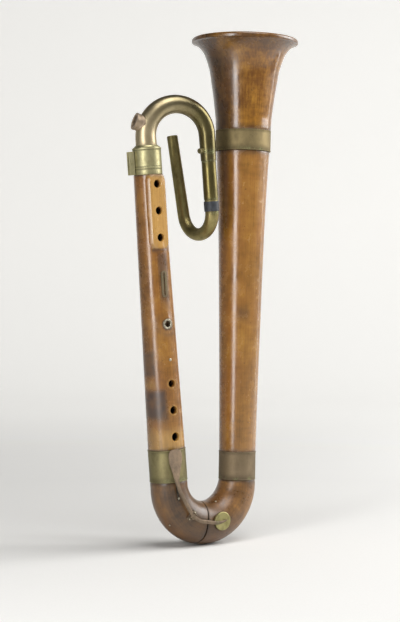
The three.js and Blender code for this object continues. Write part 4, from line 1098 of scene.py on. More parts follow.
# %% Elbows that meet at a crept seam
def elbow(name, outline, side):
    piece = turned(name, outline, route=butt, sides=128, reach=4.0)
    count = len(piece.data.vertices)
    points = np.empty(count * 3)
    piece.data.vertices.foreach_get("co", points)
    points = points.reshape(count, 3) / MM
    out, y, s = butt.straightened(points).T
    around, reach = np.arctan2(y, out), np.hypot(out, y)
    # The joint has crept: it wanders to and fro, and has opened at the front and top
    shift = (1.3 * np.sin(2 * around + 0.4) + 0.6 * np.sin(5 * around)) * near(s, (seam, 12))
    lip = (reach > butt_radius(s) - 2) * near(s, (seam, 1.2))
    shift += side * lip * (0.15 + 0.85 * toward(around, -60, 60, 110))
    heading = np.array([butt.at(value)[2] for value in s])
    along = np.column_stack([np.cos(heading), np.zeros(count), np.sin(heading)])
    points += along * shift[:, None]
    piece.data.vertices.foreach_set("co", (points * MM).ravel())
    return piece


neck, butt_head = FERRULE_BORE - GAP, butt.length
high_neck, high_floor = butt_head - RIGHT_FERRULE, butt_head - SOCKET_DEPTH
left_side = butt_side(LEFT_FERRULE + GAP, seam)
right_side = butt_side(seam + GAP, high_neck - GAP)
left_lip, right_lip = left_side[-1][1], right_side[0][1]
left_elbow = elbow("fingered_elbow", [
    (0, neck), (LEFT_FERRULE, neck), (LEFT_FERRULE + GAP, left_side[0][1] - 0.8),
    *left_side[1:-1], (seam - 0.9, left_lip), (seam - 0.3, left_lip - 0.3),
    (seam, left_lip - 1.1), (seam, SEAM_TENON), (seam + SEAM_DEPTH, SEAM_TENON),
    (seam + SEAM_DEPTH, BUTT_BORE), (SOCKET_DEPTH, BUTT_BORE), (SOCKET_DEPTH, BUTT_SOCKET),
    (0, BUTT_SOCKET),
], -1)
right_elbow = elbow("belled_elbow", [
    (seam + GAP, SEAM_SOCKET), (seam + GAP, right_lip - 1.1), (seam + 0.6, right_lip - 0.3),
    *right_side[1:-1], (high_neck - GAP, right_side[-1][1] - 0.8), (high_neck, neck),
    (butt_head, neck), (butt_head, BUTT_SOCKET), (high_floor, BUTT_SOCKET),
    (high_floor, BUTT_BORE), (seam + SEAM_DEPTH + GAP, BUTT_BORE),
    (seam + SEAM_DEPTH + GAP, SEAM_SOCKET),
], 1)
print("elbows:", len(left_elbow.data.vertices), "and", len(right_elbow.data.vertices), "points")

# %% Route of the key, and the cuts it needs in the butt
KEY_FACE, PAD_SEAT, PIN_HUB, PIN = 43.5, 36.2, 2.9, 1.2
SPRING_FOOT, SPRING_FACE = (-78, 91), 35.4
EAR, HUB_HALF, EAR_PLAY = 1.6, 3.5, 0.3 + 9 ** 2 / (40 * 8)
key_route = Route(-91.5, 178.5, math.radians(-85.5))
key_route.line(46).bend(75, math.radians(26)).line(39.5)
pivot_s = key_route.length + 40 * math.radians(50) * 0.27
key_route.bend(40, math.radians(50)).line(23).bend(50, math.radians(24))
pivot_x, pivot_z, pivot_heading = key_route.at(pivot_s)
cup_x, cup_z, _ = key_route.at(key_route.length)
ear_face = HUB_HALF + EAR_PLAY
screw_out = ear_face + EAR + 2
saddle_screw_face = KEY_FACE - PIN_HUB - 0.15
saddle_screws = []
for out in (-screw_out, screw_out):
    x = pivot_x - out * math.sin(pivot_heading)
    saddle_screws.append((x, pivot_z + out * math.cos(pivot_heading)))
butt_screws = []
for share, around in ((0.21, 0.88), (0.62, 0.14)):
    s = FINGERED_RISE + bend_length * share
    butt_screws.append((s, (around * 2 - 1) * UP, butt_radius(s) + 0.3))


def round_butt(piece, s, turn):
    x, z, heading = butt.at(s)
    return moved(piece, x, 0, z, [(-heading, "Y"), (UP + turn, "X")])


def butt_cutters():
    tools = [to_front(rod(18.5, PAD_SEAT, KEY_FACE), cup_x, cup_z),
             to_front(rod(9, 2, PAD_SEAT + 1), cup_x, cup_z)]
    for s, turn, face in butt_screws:
        tools.append(round_butt(rod(1.3, face - 5.4, face + 2), s, turn))
    for x, z in saddle_screws:
        hole = rod(1.15, saddle_screw_face - 5.4, saddle_screw_face + 2)
        tools.append(to_front(hole, x, z))
    return tools + [to_front(rod(1.4, SPRING_FACE - 5, SPRING_FACE + 2), *SPRING_FOOT)]


print("pin at", round(pivot_s, 1), "of", round(key_route.length, 1), "mm along the key")

# %% Cut, paint and place the elbows
def butt_grime(s, around, reach):
    ends = near(s, (57, 6), (butt.length - 51, 6)) * 0.7
    at_seam = near(s, (seam, 3.2)) * 0.9
    dark_side = soft_stretch(s, 60, 75, seam - 8, seam + 60) * 0.36
    ground = 0.5 * smooth(-np.cos(around), 0.3, 0.95) * near(s, (seam, 60))
    return most(ends, at_seam, dark_side, ground, (reach < 27) * 0.9)


def butt_wear(s, around, reach):
    return 0.35 * near(s, (butt.length - 80, 26)) * smooth(-np.cos(around), -0.5, 0.6)


for shape, name, node in ((left_elbow, "left_elbow", "fingered_elbow"),
                          (right_elbow, "right_elbow", "belled_elbow")):
    for tool in butt_cutters():
        shape = fitted(shape, tool)
    finished(shape, name, "horn", [node], BUTT_WOOD, HORN, butt, butt_grime,
             butt_wear)
for i, (s, turn, face) in enumerate(butt_screws, 1):
    wood_screw(round_butt(screw(1.8, face), s, turn), f"butt_wood_screw_{i}", f"butt_screw_{i}")

# %% [markdown]
# ## Ferrules
# A ferrule is a wide brass ring that keeps a socket from splitting. It was rolled from
# sheet, soldered, and finished with a small bead at each edge. Hand work leaves it
# slightly uneven, which is what makes its reflections look alive, so the round wall
# swells and dips by about a tenth of a millimetre. Dirt has collected beside the beads.

# %% Butt ferrules and bell ferrule
def uneven(piece, amount, seed):
    for vert in piece.data.vertices:
        x, y, z = vert.co / MM
        around = math.atan2(y, x)
        wave = math.sin(3 * around + seed) * math.sin(z / 9 + seed * 2)
        wave += 0.6 * math.sin(5 * around - seed + z / 14)
        grow = 1 + amount * wave / max(1.0, math.hypot(x, y))
        vert.co.x *= grow
        vert.co.y *= grow
    return piece


def bead(place, radius, reach, steps=7):
    turns = [math.pi * k / (steps - 1) for k in range(steps)]
    return [(place - reach * math.cos(t), radius + reach * 0.5 * math.sin(t)) for t in turns]


def ferrule(name, node, inner, wall, height, foot, where, seed, metal):
    outer, head, middle = inner + wall, foot + height, foot + height / 2
    outline = [(foot, inner), *bead(foot + 1.0, outer, 0.9), (foot + 2.8, outer),
               (head - 2.8, outer), *bead(head - 1.0, outer, 0.9), (head, inner)]
    ring = uneven(turned(name, outline, sides=144, reach=3.0), 0.09, seed)

    def grime_and_shade(s, around, reach):
        beside_beads = near(s, (foot + 2.3, 0.9), (head - 2.3, 0.9)) * 0.5
        low = 0.6 * near(s, (foot + 3, 6))
        ends = 0.3 * smooth(np.abs(s - middle), height * 0.3, height * 0.55)
        inside = 0.9 * (reach < inner + wall * 0.4)
        # The sides are darkened as painted shade
        return most(beside_beads, low, ends, 0.4 * shaded_sides(around), inside)

    def wear(s, around, reach):
        return smooth(reach, outer + 0.25, outer + 0.45) * 0.4

    finished(ring, name, "horn", [node], metal, where, grime_and_shade=grime_and_shade, wear=wear)


ferrule("left_butt_ferrule", "fingered_butt_ferrule", FERRULE_BORE, 1.3, LEFT_FERRULE, 12,
        FINGERED, 0.6, FERRULE_BRASS)
ferrule("right_butt_ferrule", "belled_butt_ferrule", FERRULE_BORE, 1.3, RIGHT_FERRULE, 0.5,
        BELLED, 2.1, BROWN_BRASS)
ferrule("neck_ferrule", "bell_ferrule", BELL_NECK, 1.2, 38, BELL_FOOT, BELLED, 4.0, NECK_BRASS)

# %% Top ferrule
TOP_INNER, TOP_OUTER, TOP_LIP, TOP_BEAD = 24.1, 25.2, 26.0, 25.55
bead_at, rim_inner = FERRULE_HEAD - 35, TOP_OUTER - 4.6
top = turned("top", eased([
    (FERRULE_FOOT, TOP_INNER), (FERRULE_FOOT, TOP_OUTER), (bead_at - 1.6, TOP_OUTER),
    (bead_at - 1, TOP_BEAD), (bead_at + 1, TOP_BEAD), (bead_at + 1.6, TOP_OUTER),
    (FERRULE_HEAD - 2.6, TOP_OUTER), (FERRULE_HEAD - 2.2, TOP_LIP), (FERRULE_HEAD, TOP_LIP),
    (FERRULE_HEAD, rim_inner), (FERRULE_HEAD - 1.6, rim_inner), (FERRULE_HEAD - 1.6, TOP_INNER),
], 0.35), sides=128, reach=3.0)


def top_grime_and_shade(s, around, reach):
    creases = near(s, (bead_at - 2, 1.4), (bead_at + 2.2, 1.2), (FERRULE_HEAD - 3, 1.3)) * 0.8
    foot = 0.3 * smooth(-s, -FERRULE_FOOT - 7, -FERRULE_FOOT)
    # The middle mark is painted shade on the sides
    return most(creases, foot, 0.45 * shaded_sides(around), (reach < 24.4) * 0.8)


def top_wear(s, around, reach):
    return smooth(reach, 25.6, 25.9) * 0.6


finished(uneven(top, 0.05, 1.3), "socket_ferrule", "horn", ["top_ferrule"],
         SOCKET_BRASS, FINGERED, grime_and_shade=top_grime_and_shade, wear=top_wear)

# %% [markdown]
# ## The empty saddle
# On the left of the socket stands a saddle whose key is lost: a sole bent to the
# ferrule, two ears, and the hole for the hinge pin. Blocks with bevelled edges are
# joined, and the ferrule's round and the pin hole are cut out.

# %% Saddle of the lost key
SADDLE_TOP, SADDLE_LENGTH, SADDLE_HALF, SADDLE_EAR = -5.3, 41, 6.5, 1.6
saddle_low = SADDLE_TOP - SADDLE_LENGTH
saddle_in, saddle_out = TOP_OUTER + 1.0, TOP_OUTER + 1.0 + 9.2
saddle = block("sole", (-saddle_in - 1.6, -SADDLE_HALF, saddle_low),
               (-TOP_INNER, SADDLE_HALF, SADDLE_TOP), 0.45)
for side in (-1, 1):
    low, high = sorted((side * SADDLE_HALF, side * (SADDLE_HALF - SADDLE_EAR)))
    ear = block("ear", (-saddle_out, low, saddle_low), (-TOP_INNER, high, SADDLE_TOP), 0.45)
    saddle = fitted(saddle, ear, "UNION")
saddle = fitted(saddle, rod(saddle_in, saddle_low - 2, SADDLE_TOP + 2, 160))
pin_height = (saddle_low + SADDLE_TOP) / 2
pin_hole = moved(rod(1.3, -13, 13), -saddle_in - 4.6, 0, pin_height, [(UP, "X")])


def saddle_grime(s, around, reach):
    return np.maximum(smooth(-reach, -saddle_in - 4, -saddle_in) * 0.6, 0.3)


finished(fitted(saddle, pin_hole), "empty_saddle", "horn", ["vent_key_saddle"],
         SOCKET_BRASS, CROOK, grime_and_shade=saddle_grime, sharp=30)

# %% [markdown]
# ## The crook
# The crook is drawn brass tube, bent over a filling of lead or pitch. It rises from its
# skirt, goes over in a half circle and comes down, and it narrows all the way. A short
# wide chimney is soldered on at the upper left, with a small fillet of solder at its
# root. The chimney's lower end is cut to the curve of the tube, then its root is
# spread where it lies close to the tube.

# %% Route and measures of the crook
CROOK_FOOT, TENON_OUT, TENON_BORE, SLEEVE_GAP = 18.8, 17.4, 16.2, 0.3
VENT_TURN, VENT_BORE, CLAMP_AZIMUTH = math.radians(22), 10.8, math.radians(-155)
# How far along the crook, and which share of its radius at the foot is left there
CROOK_TAPERS = [(0, 1), (0.38, 0.895), (0.79, 0.79), (1, 0.735)]
crook_route = Route(0, -CROOK_TENON, UP).line(CROOK_TENON + CROOK_RISE)
vent_s = crook_route.length + CROOK_BEND * VENT_TURN
crook_route.bend(CROOK_BEND, -math.pi).line(CROOK_SLEEVE)
crook_end, crook_tip = crook_route.length, CROOK_FOOT * CROOK_TAPERS[-1][1]
slide_radius = crook_tip - 0.9
sleeve_radius = slide_radius + SLEEVE_GAP
vent_x, vent_z, vent_heading = crook_route.at(vent_s)
clamp_x, clamp_z, _ = crook_route.at(crook_end - 18)


def crook_radius(s):
    share = (np.asarray(s, float) - CROOK_TENON) / (crook_end - CROOK_TENON)
    return CROOK_FOOT * np.interp(share, *zip(*CROOK_TAPERS))


def crook_side(grow):
    free = crook_end - CROOK_TENON
    return flowing([(CROOK_TENON + free * a, CROOK_FOOT * t + grow) for a, t in CROOK_TAPERS], 10)


def at_vent(piece):
    return moved(piece, vent_x, 0, vent_z, [(-vent_heading, "Y")])


def at_clamp(piece):
    return moved(piece, clamp_x, 0, clamp_z, [(CLAMP_AZIMUTH, "Z"), (UP, "Y")])


print("crook's length:", round(crook_end, 1), "and slide's radius:", round(slide_radius, 2))

# %% Crook tube
tube = turned("crook", [
    (0, TENON_BORE), (0, TENON_OUT), (39.6, TENON_OUT), (CROOK_TENON, CROOK_FOOT - 0.4),
    *crook_side(0)[1:-1], (crook_end - 0.4, crook_tip), (crook_end, crook_tip - 0.4),
    (crook_end, sleeve_radius), (crook_end - CROOK_SLEEVE, sleeve_radius),
    *reversed(crook_side(-1.2)[4:-12]), (CROOK_TENON, TENON_BORE),
], route=crook_route, sides=96, reach=3.0)
tube = fitted(tube, at_vent(rod(VENT_BORE, 0, 25)))
tube = fitted(tube, at_clamp(rod(2.3, 0, 16.4)))


def crook_grime(s, around, reach):
    low = 0.2 * smooth(s, crook_end - 130, crook_end - 30)
    foot = 0.5 * near(s, (43, 5))
    clamp = 0.75 * near(s, (crook_end - 16, 6))
    mouth = 0.85 * near(s, (crook_end, 2.5))
    return most(low, foot, clamp, mouth, (reach < crook_radius(s) - 0.7) * 0.9)


finished(tube, "bent_crook", "crook", ["crook"], CROOK_BRASS, CROOK,
         crook_route, crook_grime)

# %% Skirt and chimney
def skirt_grime(s, around, reach):
    return 0.5 * smooth(-reach, -21.5, -19.5)


skirt = turned("skirt", eased([
    (0, 19.1), (0, 24), (1.1, 24), (2.4, 21.6), (4.4, 20.3), (4.4, 19.1),
], 0.5), sides=96, reach=2.0)
finished(skirt, "crook_skirt_ring", "crook", ["crook_skirt"], SOCKET_BRASS,
         CROOK, grime_and_shade=skirt_grime)
chimney = at_vent(turned("chimney", eased([
    (8, VENT_BORE), (8, 15), (20.5, 15), (21.2, 15.5), (25, 15.5), (25, VENT_BORE),
], 0.4), sides=96, reach=0.7))
foot = np.array([vent_x, 0, vent_z])
axis = np.array([math.cos(vent_heading), 0, math.sin(vent_heading)])
for vert in chimney.data.vertices:
    point = np.array(vert.co) / MM
    out, y, s = crook_route.straightened(point[None])[0]
    above = math.hypot(out, y) - float(crook_radius(s))
    middle = foot + axis * float((point - foot) @ axis)
    outward = point - middle
    reach = float(np.linalg.norm(outward))
    if reach > 14 and -1 < above < 3:
        fillet = 1.5 * (1 - max(0.0, above) / 3) ** 2
        vert.co = ((middle + outward * (1 + fillet / reach)) * MM).tolist()
chimney = fitted(chimney, core(crook_route, crook_side(0), 38, crook_end, 0.15))
finished(chimney, "vent_tube", "crook", ["vent_chimney"], VENT_BRASS, CROOK,
         grime_and_shade=0.1)

# %% Clamp boss and thumbscrew
HEAD_LOW, HEAD_TOP, HEAD_OUT, RIDGES = 17.2, 22.2, 4.8, 24
boss = at_clamp(turned("boss", eased([
    (8, 2.3), (8, 5.4), (15.6, 5.4), (16.4, 4.8), (16.4, 2.3),
], 0.3), sides=48, reach=1.0))
boss = fitted(boss, core(crook_route, crook_side(0)[3:], 150, crook_end, 0.15, 3.0))
finished(boss, "clamp_socket", "crook", ["clamp_boss"], TUBE_BRASS, CROOK,
         grime_and_shade=0.4)
thumbscrew = turned("thumbscrew", eased([
    (sleeve_radius, 0), (sleeve_radius, 2), (HEAD_LOW, 2), (HEAD_LOW, HEAD_OUT),
    (HEAD_TOP, HEAD_OUT), (HEAD_TOP, 0),
], 0.5, loop=False), sides=96, reach=1.0)
for vert in thumbscrew.data.vertices:
    x, y, z = vert.co / MM
    if math.hypot(x, y) > 4.2 and z > 17.6:
        ridge = 1 - 0.05 * (0.5 + 0.5 * math.cos(RIDGES * math.atan2(y, x)))
        vert.co.x, vert.co.y = x * ridge * MM, y * ridge * MM
thumbscrew = fitted(thumbscrew, block("blade", (-8, -0.5, 21.4), (8, 0.5, 26), 0.02))
finished(at_clamp(thumbscrew), "thumbscrew", "clamp", ["clamp_screw"],
         FERRULE_BRASS, CROOK)

# %% [markdown]
# ## Slide and mouthpipe
# The tuning slide is a straight tube that draws out of the crook. The mouthpipe fits in
# its lower end under a band of waxed leather, turns through nearly half a circle and
# rises behind the slide. Its open end takes a mouthpiece, so its bore widens there.

# %% Tuning slide
SLIDE_LENGTH, SLIDE_WALL = 113, 0.9
slide = turned("slide", eased([
    (0, slide_radius - SLIDE_WALL), (0, slide_radius), (SLIDE_LENGTH, slide_radius),
    (SLIDE_LENGTH, slide_radius - SLIDE_WALL),
], 0.35), sides=96, reach=3.0)


def slide_grime_and_shade(s, around, reach):
    ends = near(s, (SLIDE_DROP, 4), (0, 3)) * 0.75
    # The sides are darkened as painted shade
    return most(ends, 0.7 * shaded_sides(around, -110), (reach < slide_radius - 0.5) * 0.9)


finished(slide, "drawn_slide", "slide", ["tuning_slide"], TUBE_BRASS, SLIDE,
         grime_and_shade=slide_grime_and_shade)

# %% Mouthpipe and its band
BAND_NECK, PIPE_FOOT, PIPE_MOUTH = 21, 12.2, 9.9
PIPE_DROP, PIPE_BEND, PIPE_RISE, PIPE_LEAN = 41, 40.5, 147.5, math.radians(7.2)
pipe_route = Route(0, 20, -UP).line(PIPE_DROP).bend(PIPE_BEND, math.pi - PIPE_LEAN)
bend_end = pipe_route.length
pipe_end = pipe_route.line(PIPE_RISE).length
pipe_tenon = slide_radius - SLIDE_WALL - 0.3
pipe_bore = pipe_tenon - 1.2
outer = flowing([(PIPE_DROP, PIPE_FOOT), (bend_end, 10.98), (pipe_end - 9, PIPE_MOUTH + 0.1)], 16)
mouth = eased([(pipe_end - 8, PIPE_MOUTH + 0.08), (pipe_end, PIPE_MOUTH), (pipe_end, 8.4),
               (pipe_end - 3, 8.1)], 0.5, loop=False)
pipe = turned("mouthpipe", [
    (0, pipe_bore), (0.4, pipe_tenon), (20.3, pipe_tenon), (20.5, PIPE_FOOT - 0.3),
    (20.9, PIPE_FOOT), *outer, *mouth, (pipe_end - 18, 8.1), (pipe_end - 19, 7.4),
    (bend_end, 8.6), (PIPE_DROP, pipe_bore),
], route=pipe_route, sides=96, reach=3.0)


def pipe_grime(s, around, reach):
    band = near(s, (41, 5), (22, 3)) * 0.8
    bend = 0.28 * near(s, (100, 60)) * smooth(np.cos(around), -0.2, 0.9)
    mouth = near(s, (pipe_end - 2, 4)) * 0.5
    return most(band, bend, mouth, (reach < 9.0) * (s < pipe_end - 1) * 0.9)


def pipe_wear(s, around, reach):
    return 0.25 * near(s, (190, 50))


finished(pipe, "bent_mouthpipe", "mouthpipe", ["mouthpipe"], PIPE_BRASS,
         MOUTHPIPE, pipe_route, pipe_grime, pipe_wear)
band = turned("band", eased([
    (-BAND_NECK, 12.5), (-BAND_NECK, 13.5), (-13.2, 13.5), (-12.9, 13.3), (-12.6, 13.5),
    (-3.4, 13.5), (-3.4, 12.5),
], 0.35), sides=96, reach=1.5)
finished(uneven(band, 0.12, 2.7), "leather_band", "mouthpipe", ["mouthpipe_band"],
         WAXED_LEATHER, MOUTHPIPE)

# %% [markdown]
# ## The butt key
# A long key closes the lowest tone hole. One forging of brass makes the broad touch, the
# curved lever and the pointed tongue, which is soldered across a flat cup. The lever is
# laid out as cross-sections along its curve: thin and broad at the touch, thick and
# ridged where it must not bend, and thin again on the cup. A pin through two ears
# carries it and a leaf spring keeps the pad down.

# %% Lever with touch and tongue
CUP_RADIUS, CUP_INNER, PAD_THICK = 16.6, 15.4, 4
pad_foot = PAD_SEAT + 0.3
cup_floor = pad_foot + PAD_THICK + 0.3
cup_crown = cup_floor + 1.8
tongue_face = cup_crown + 0.3 + 1.5
key_length = key_route.length
# Width and thickness in mm at each place along the key
WIDTHS = flowing([
    (0, 12.9), (2.4, 21.3), (6.4, 26), (13.6, 28), (22.4, 26), (32, 20.7), (42, 14.6),
    (52, 9.8), (64, 7), (80, 6.6), (pivot_s - 12, 7), (pivot_s, 7.4), (pivot_s + 12, 6.6),
    (key_length - CUP_RADIUS, 6.6), (key_length - 4, 4.6), (key_length + 6, 1.8),
    (key_length + 8, 0.5)])
THICKNESSES = [(0, 1.8), (20, 1.9), (50, 3), (key_length - 20, 3.2), (key_length - 6, 2.6),
               (key_length + 8, 1.6)]
turns = np.linspace(0, 2 * math.pi, 28, endpoint=False)
stations = np.concatenate([[0, 0.5, 1.2, 2.2], np.arange(3.6, key_length + 7, 1.6),
                           [key_length + 7.2, key_length + 8]])


def rounded(wave, power):
    """Between a circle, at power 1, and a square, near power 0."""
    return np.sign(wave) * np.abs(wave) ** power


layers = []
for s in stations:
    x, z, heading = key_route.at(s)
    width, thick = np.interp(s, *zip(*WIDTHS)), np.interp(s, *zip(*THICKNESSES))
    lift = min(1, max(0, (s - pivot_s) / (key_length - 16 - pivot_s)))
    face = KEY_FACE + (tongue_face - KEY_FACE) * lift
    touch = 1 - float(smooth(s, 26, 56))
    power = 0.3 - 0.08 * touch
    across = rounded(np.cos(turns), power) * width / 2
    depth = rounded(np.sin(turns), power + 0.25) * thick / 2
    crown = (1 - (across / (width / 2)) ** 2) * (0.25 - 0.5 * touch)
    depth = depth + np.where(depth > 0, crown, 0)
    sideward, upward = across * math.sin(heading), across * math.cos(heading)
    layers.append(np.stack([x - sideward, -face - depth, z + upward], 1))
lever = layered("lever", layers)
print("lever from", len(layers), "cross-sections")

# %% Hub, pin hole and finish of the key
def at_pivot(piece):
    return moved(piece, pivot_x, -KEY_FACE, pivot_z, [(-pivot_heading, "Y")])


def pin_bore(half):
    return at_pivot(rod(PIN + 0.12, -half, half))


hub = at_pivot(turned("hub", eased([
    (-HUB_HALF, 0), (-HUB_HALF, PIN_HUB), (HUB_HALF, PIN_HUB), (HUB_HALF, 0),
], 0.4, loop=False), sides=48))
lever = fitted(fitted(lever, hub, "UNION"), pin_bore(12))


def key_grime(s, around, reach):
    return most(0.5 * near(s, (pivot_s, 9), (key_length - 14, 8)), 0.3 * smooth(s, 40, 70))


def key_wear(s, around, reach):
    return 0.25 * (1 - smooth(s, 12, 34))


finished(lever, "key_forging", "key", ["key_lever"], KEY_BRASS, HORN, key_route,
         key_grime, key_wear, sharp=50)

# %% Cup, pad and pin
cup_rim = cup_crown - 5
cup = to_front(turned("cup", eased([
    (cup_rim, CUP_INNER), (cup_rim, CUP_RADIUS), (cup_crown - 1.1, CUP_RADIUS),
    (cup_crown - 0.25, CUP_RADIUS - 1), (cup_crown, 6.4), (cup_crown, 0), (cup_floor, 0),
    (cup_floor, CUP_INNER),
], 0.4, loop=False)[::-1], sides=96, reach=1.5), cup_x, cup_z)
finished(cup, "flat_cup", "key", ["key_pad_cup"], CUP_BRASS, HORN, grime_and_shade=0.2)
pad_back = pad_foot + PAD_THICK
pad = to_front(turned("pad", eased([
    (pad_foot, 0), (pad_foot, 9.6), (pad_foot + 0.5, 10.3), (pad_foot, 11), (pad_foot, 14.2),
    (pad_back, 14.2), (pad_back, 0),
], 0.9, loop=False), sides=64, reach=1.5), cup_x, cup_z)
finished(pad, "stuffed_pad", "key", ["key_pad"], PAD_LEATHER, HORN)
pin_end = ear_face + EAR
pin = at_pivot(turned("pin", eased([
    (-pin_end, 0), (-pin_end, PIN), (pin_end, PIN), (pin_end, 0),
], 0.3, loop=False), sides=32, reach=1.5))
finished(pin, "hinge_pin", "horn", ["key_pivot_pin"], BLUED_STEEL, HORN)

# %% Saddle of the key and its screws
BASE_HALF = 4.5
base_end, low, high = pin_end + 4, KEY_FACE - BUTT_END, PIN_HUB + 0.3
base = block("base", (-BASE_HALF, high, -base_end), (BASE_HALF, low, base_end), 0.5)
for side in (-1, 1):
    start, end = sorted((side * ear_face, side * pin_end))
    ear = block("ear", (-BASE_HALF, -high, start), (BASE_HALF, low, end), 0.4)
    base = fitted(base, ear, "UNION")
base = fitted(at_pivot(base), pin_bore(30))
wood = butt_side(LEFT_FERRULE + GAP, high_neck - GAP)
base = fitted(base, core(butt, wood, wood[0][0], wood[-1][0], 0.25))
for x, z in saddle_screws:
    hole = rod(1.15, saddle_screw_face - 10, saddle_screw_face + 2)
    base = fitted(base, to_front(hole, x, z))
finished(base, "pillar_saddle", "horn", ["key_saddle"], KEY_BRASS, HORN,
         grime_and_shade=0.4, sharp=30)
for i, (x, z) in enumerate(saddle_screws, 1):
    wood_screw(to_front(screw(1.5, saddle_screw_face, i - 0.2), x, z),
               f"saddle_wood_screw_{i}", f"saddle_screw_{i}")

# %% [markdown]
# ## The leaf spring
# The spring is a narrow strip of steel, screwed to the butt and bent so that its tip
# presses the lever from below. It stays with the butt at its screw and follows the key
# at its tip, so it bends when the key is pressed.

# %% Leaf spring and its screw
SPRING_END, SPRING_TIP, SPRING_RISE, SPRING_HALF, SPRING_THICK = 4.6, 40, 4.692, 2.3, 0.8
foot_x, foot_z = SPRING_FOOT
tip_x, tip_z, _ = key_route.at(46)
layers = []
for s in np.concatenate([[-4.6, -4.2, -3.4, -2], np.linspace(0, 39, 30), [39.6, 40]]):
    face = -SPRING_FACE - SPRING_RISE * float(smooth(s, 2, 44))
    to_end, to_tip = (s + SPRING_END) / 1.2, (SPRING_TIP - s) / 1.2
    width = SPRING_HALF * min(1.0, 0.5 + 0.5 * min(1.0, to_end), 0.6 + 0.4 * min(1.0, to_tip))
    ring = eased([(-width, 0), (width, 0), (width, SPRING_THICK), (-width, SPRING_THICK)],
                 0.25, steps=2)
    layers.append(np.array([(s, face - up, across) for across, up in ring]))
spring = layered("spring", layers)
spring_turn = math.atan2(tip_z - foot_z, tip_x - foot_x)
spring = moved(spring, foot_x, 0, foot_z, [(-spring_turn, "Y")])
spring = fitted(spring, to_front(rod(1.4, SPRING_FACE - 2, SPRING_FACE + 2), foot_x, foot_z))
spring = finished(spring, "leaf_spring", None, ["key_spring"], BLUED_STEEL, HORN)
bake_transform(spring)
wood_screw(to_front(screw(2.0, SPRING_FACE + 0.95, 1.1), foot_x, foot_z),
           "spring_wood_screw", "spring_screw")

# %% [markdown]
# ## Floor, backdrop, lights and camera
# The horn stands upright on a round of pale paper: a floor that curves up into a wall on
# all sides, so that any view has the same plain ground. Varnish and brass mirror that
# wall, and a pale one would veil their colours, so beside and before the horn it is
# painted greyer. Only the part behind the horn stays pale, and is lifted to near white.
# A tall soft strip at the left front draws the long highlight down every tube, a large
# box stands at the right, a thin strip marks the right edges, and one box hangs overhead.

# %% Round of paper
FLOOR_RADIUS, CURVE, WALL_HEIGHT, PAPER_SIDES = 3.6, 0.7, 3.4, 96
# Sine and cosine of 35 degrees: the pale part lies behind the horn, back and to the right
BACK_RIGHT, BACK = 0.5736, 0.8192


def round_of_paper():
    profile = [(out, 0.0) for out in (0.4, 1.0, 1.6, 2.2, 2.9, FLOOR_RADIUS)]
    for turn in np.linspace(0, UP, 12)[1:]:
        profile.append((FLOOR_RADIUS + CURVE * math.sin(turn), CURVE * (1 - math.cos(turn))))
    profile.append((FLOOR_RADIUS + CURVE, WALL_HEIGHT))
    turns = np.arange(PAPER_SIDES) * 2 * math.pi / PAPER_SIDES
    points = [np.zeros((1, 3))]
    for out, up in profile:
        ring = [out * np.cos(turns), out * np.sin(turns), np.full(PAPER_SIDES, up)]
        points.append(np.column_stack(ring))
    faces = [(0, 1 + k, 1 + (k + 1) % PAPER_SIDES) for k in range(PAPER_SIDES)]
    for i in range(len(profile) - 1):
        first = 1 + i * PAPER_SIDES
        faces += ring_faces(first + PAPER_SIDES, first, PAPER_SIDES)
    # The paper lies half a millimetre under the horn's foot
    paper = solid("paper", (np.concatenate(points) - (0, 0, 0.0005)) / MM, faces)
    paper.data.shade_smooth()
    return paper


paper = round_of_paper()
spots = np.empty(len(paper.data.vertices) * 3)
paper.data.vertices.foreach_get("co", spots)
x, y, _ = spots.reshape(-1, 3).T
out = np.hypot(x, y)
behind = smooth((BACK_RIGHT * x + BACK * y) / np.maximum(out, 0.01), 0.5, 0.82)
glow = smooth(out, 0.4, 3.5) * (0.25 + 0.75 * behind)
glow *= 1 + 0.12 * np.clip((BACK * x - BACK_RIGHT * y) / 0.9, -1, 1)
for label, amount in (("shade", smooth(out, 3.4, 4.2) * (1 - behind)), ("glow", glow)):
    paper.data.attributes.new(label, "FLOAT", "POINT").data.foreach_set("value", amount)
print("paper round:", len(paper.data.polygons), "faces")

# %% Matt paper
# Seamless studio paper: quite matt, with so faint a grain that nothing draws the eye.
# The part behind the horn looks a little brighter than the lamps make it, and varnish
# and brass mirror it so.
material, tree, shader, shade, glow = new_material("matt_paper", "shade", "glow")
grain = cloud(tree, add(tree, "TexCoord", output="Object"), 3.0, 3.0)
pale = add(tree, "ValToRGB", [grain], stops=((0.3, "#e3e2df"), (0.7, "#e7e6e3")))
tree.links.new(washed(tree, pale, (shade, "#848380")), shader.inputs["Base Color"])
shader.inputs["Roughness"].default_value = 0.9
seen = add(tree, "LightPath").node.outputs
rays = [seen["Is Camera Ray"], seen["Is Glossy Ray"]]
direct = add(tree, "Math", rays, operation="MAXIMUM")
direct = add(tree, "Math", [direct, seen["Is Transmission Ray"]], operation="MAXIMUM")
lift = add(tree, "Math", [glow, direct], operation="MULTIPLY")
lift = add(tree, "Math", [lift, 0.5], operation="MULTIPLY")
tree.links.new(lift, shader.inputs["Emission Strength"])
shader.inputs["Emission Color"].default_value = linear("#f6f5f2")
paper.data.materials.append(material)
print("paper finish:", material.name)

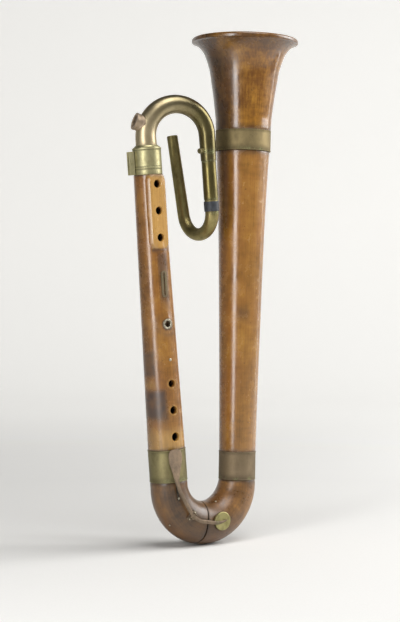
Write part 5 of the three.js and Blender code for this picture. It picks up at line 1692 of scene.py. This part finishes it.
# %% Lights and dim room
# For each lamp: degrees from the front, with the left below zero, degrees above the
# level, distance in m, width and height in m, and watts. All aim at the horn's middle.
def softbox(name, azimuth, elevation, distance, size, watts, aim=(0, 0, 0.5)):
    lamp = bpy.data.lights.new(name, "AREA")
    lamp.shape = "RECTANGLE"
    lamp.size, lamp.size_y = size
    lamp.energy = watts
    holder = bpy.data.objects.new(name, lamp)
    holder.visible_camera = False
    bpy.context.scene.collection.objects.link(holder)
    a, e = math.radians(azimuth), math.radians(elevation)
    away = Matrix.Rotation(a, 4, "Z") @ Matrix.Rotation(UP - e, 4, "X")
    holder.matrix_world = Matrix.Translation(aim) @ away @ Matrix.Translation((0, 0, distance))


softbox("left_strip", -66, 6, 2.2, (0.58, 1.9), 29)
softbox("right_box", 66, 25, 3.0, (2.0, 2.0), 92)
softbox("right_strip", 86, 6, 2.4, (0.16, 1.9), 5)
softbox("overhead", -5, 62, 2.8, (2.0, 2.0), 57)
world = bpy.data.worlds.new("dim_room")
bpy.context.scene.world = world
world.use_nodes = True
air = world.node_tree.nodes["Background"].inputs
air["Color"].default_value = linear("#ffffff")
air["Strength"].default_value = 0.04
print("lamps:", len(bpy.data.lights))

# %% Camera
# The view is level, 35 degrees to the left of the horn's front, from 2.97 m away. A lens
# as long as 1650 of the frame's 622 pixels of height gives the same narrow view.
SENSOR, LENS_PIXELS, FRAME_PIXELS = 24, 1650, 622
camera_data = bpy.data.cameras.new("camera")
camera = bpy.data.objects.new("camera", camera_data)
bpy.context.scene.collection.objects.link(camera)
camera_data.sensor_fit = "VERTICAL"
camera_data.sensor_height = SENSOR
camera_data.lens = SENSOR * LENS_PIXELS / FRAME_PIXELS
camera_data.shift_x, camera_data.shift_y = -0.0029, -0.0498
turned_left = Matrix.Rotation(math.radians(-35), 4, "Z") @ Matrix.Rotation(UP, 4, "X")
camera.matrix_world = Matrix.Translation((-1.7235, -2.4329, 0.4747)) @ turned_left
bpy.context.scene.camera = camera
bpy.context.scene.view_settings.view_transform = "Standard"
print("lens in mm:", round(camera_data.lens, 2))
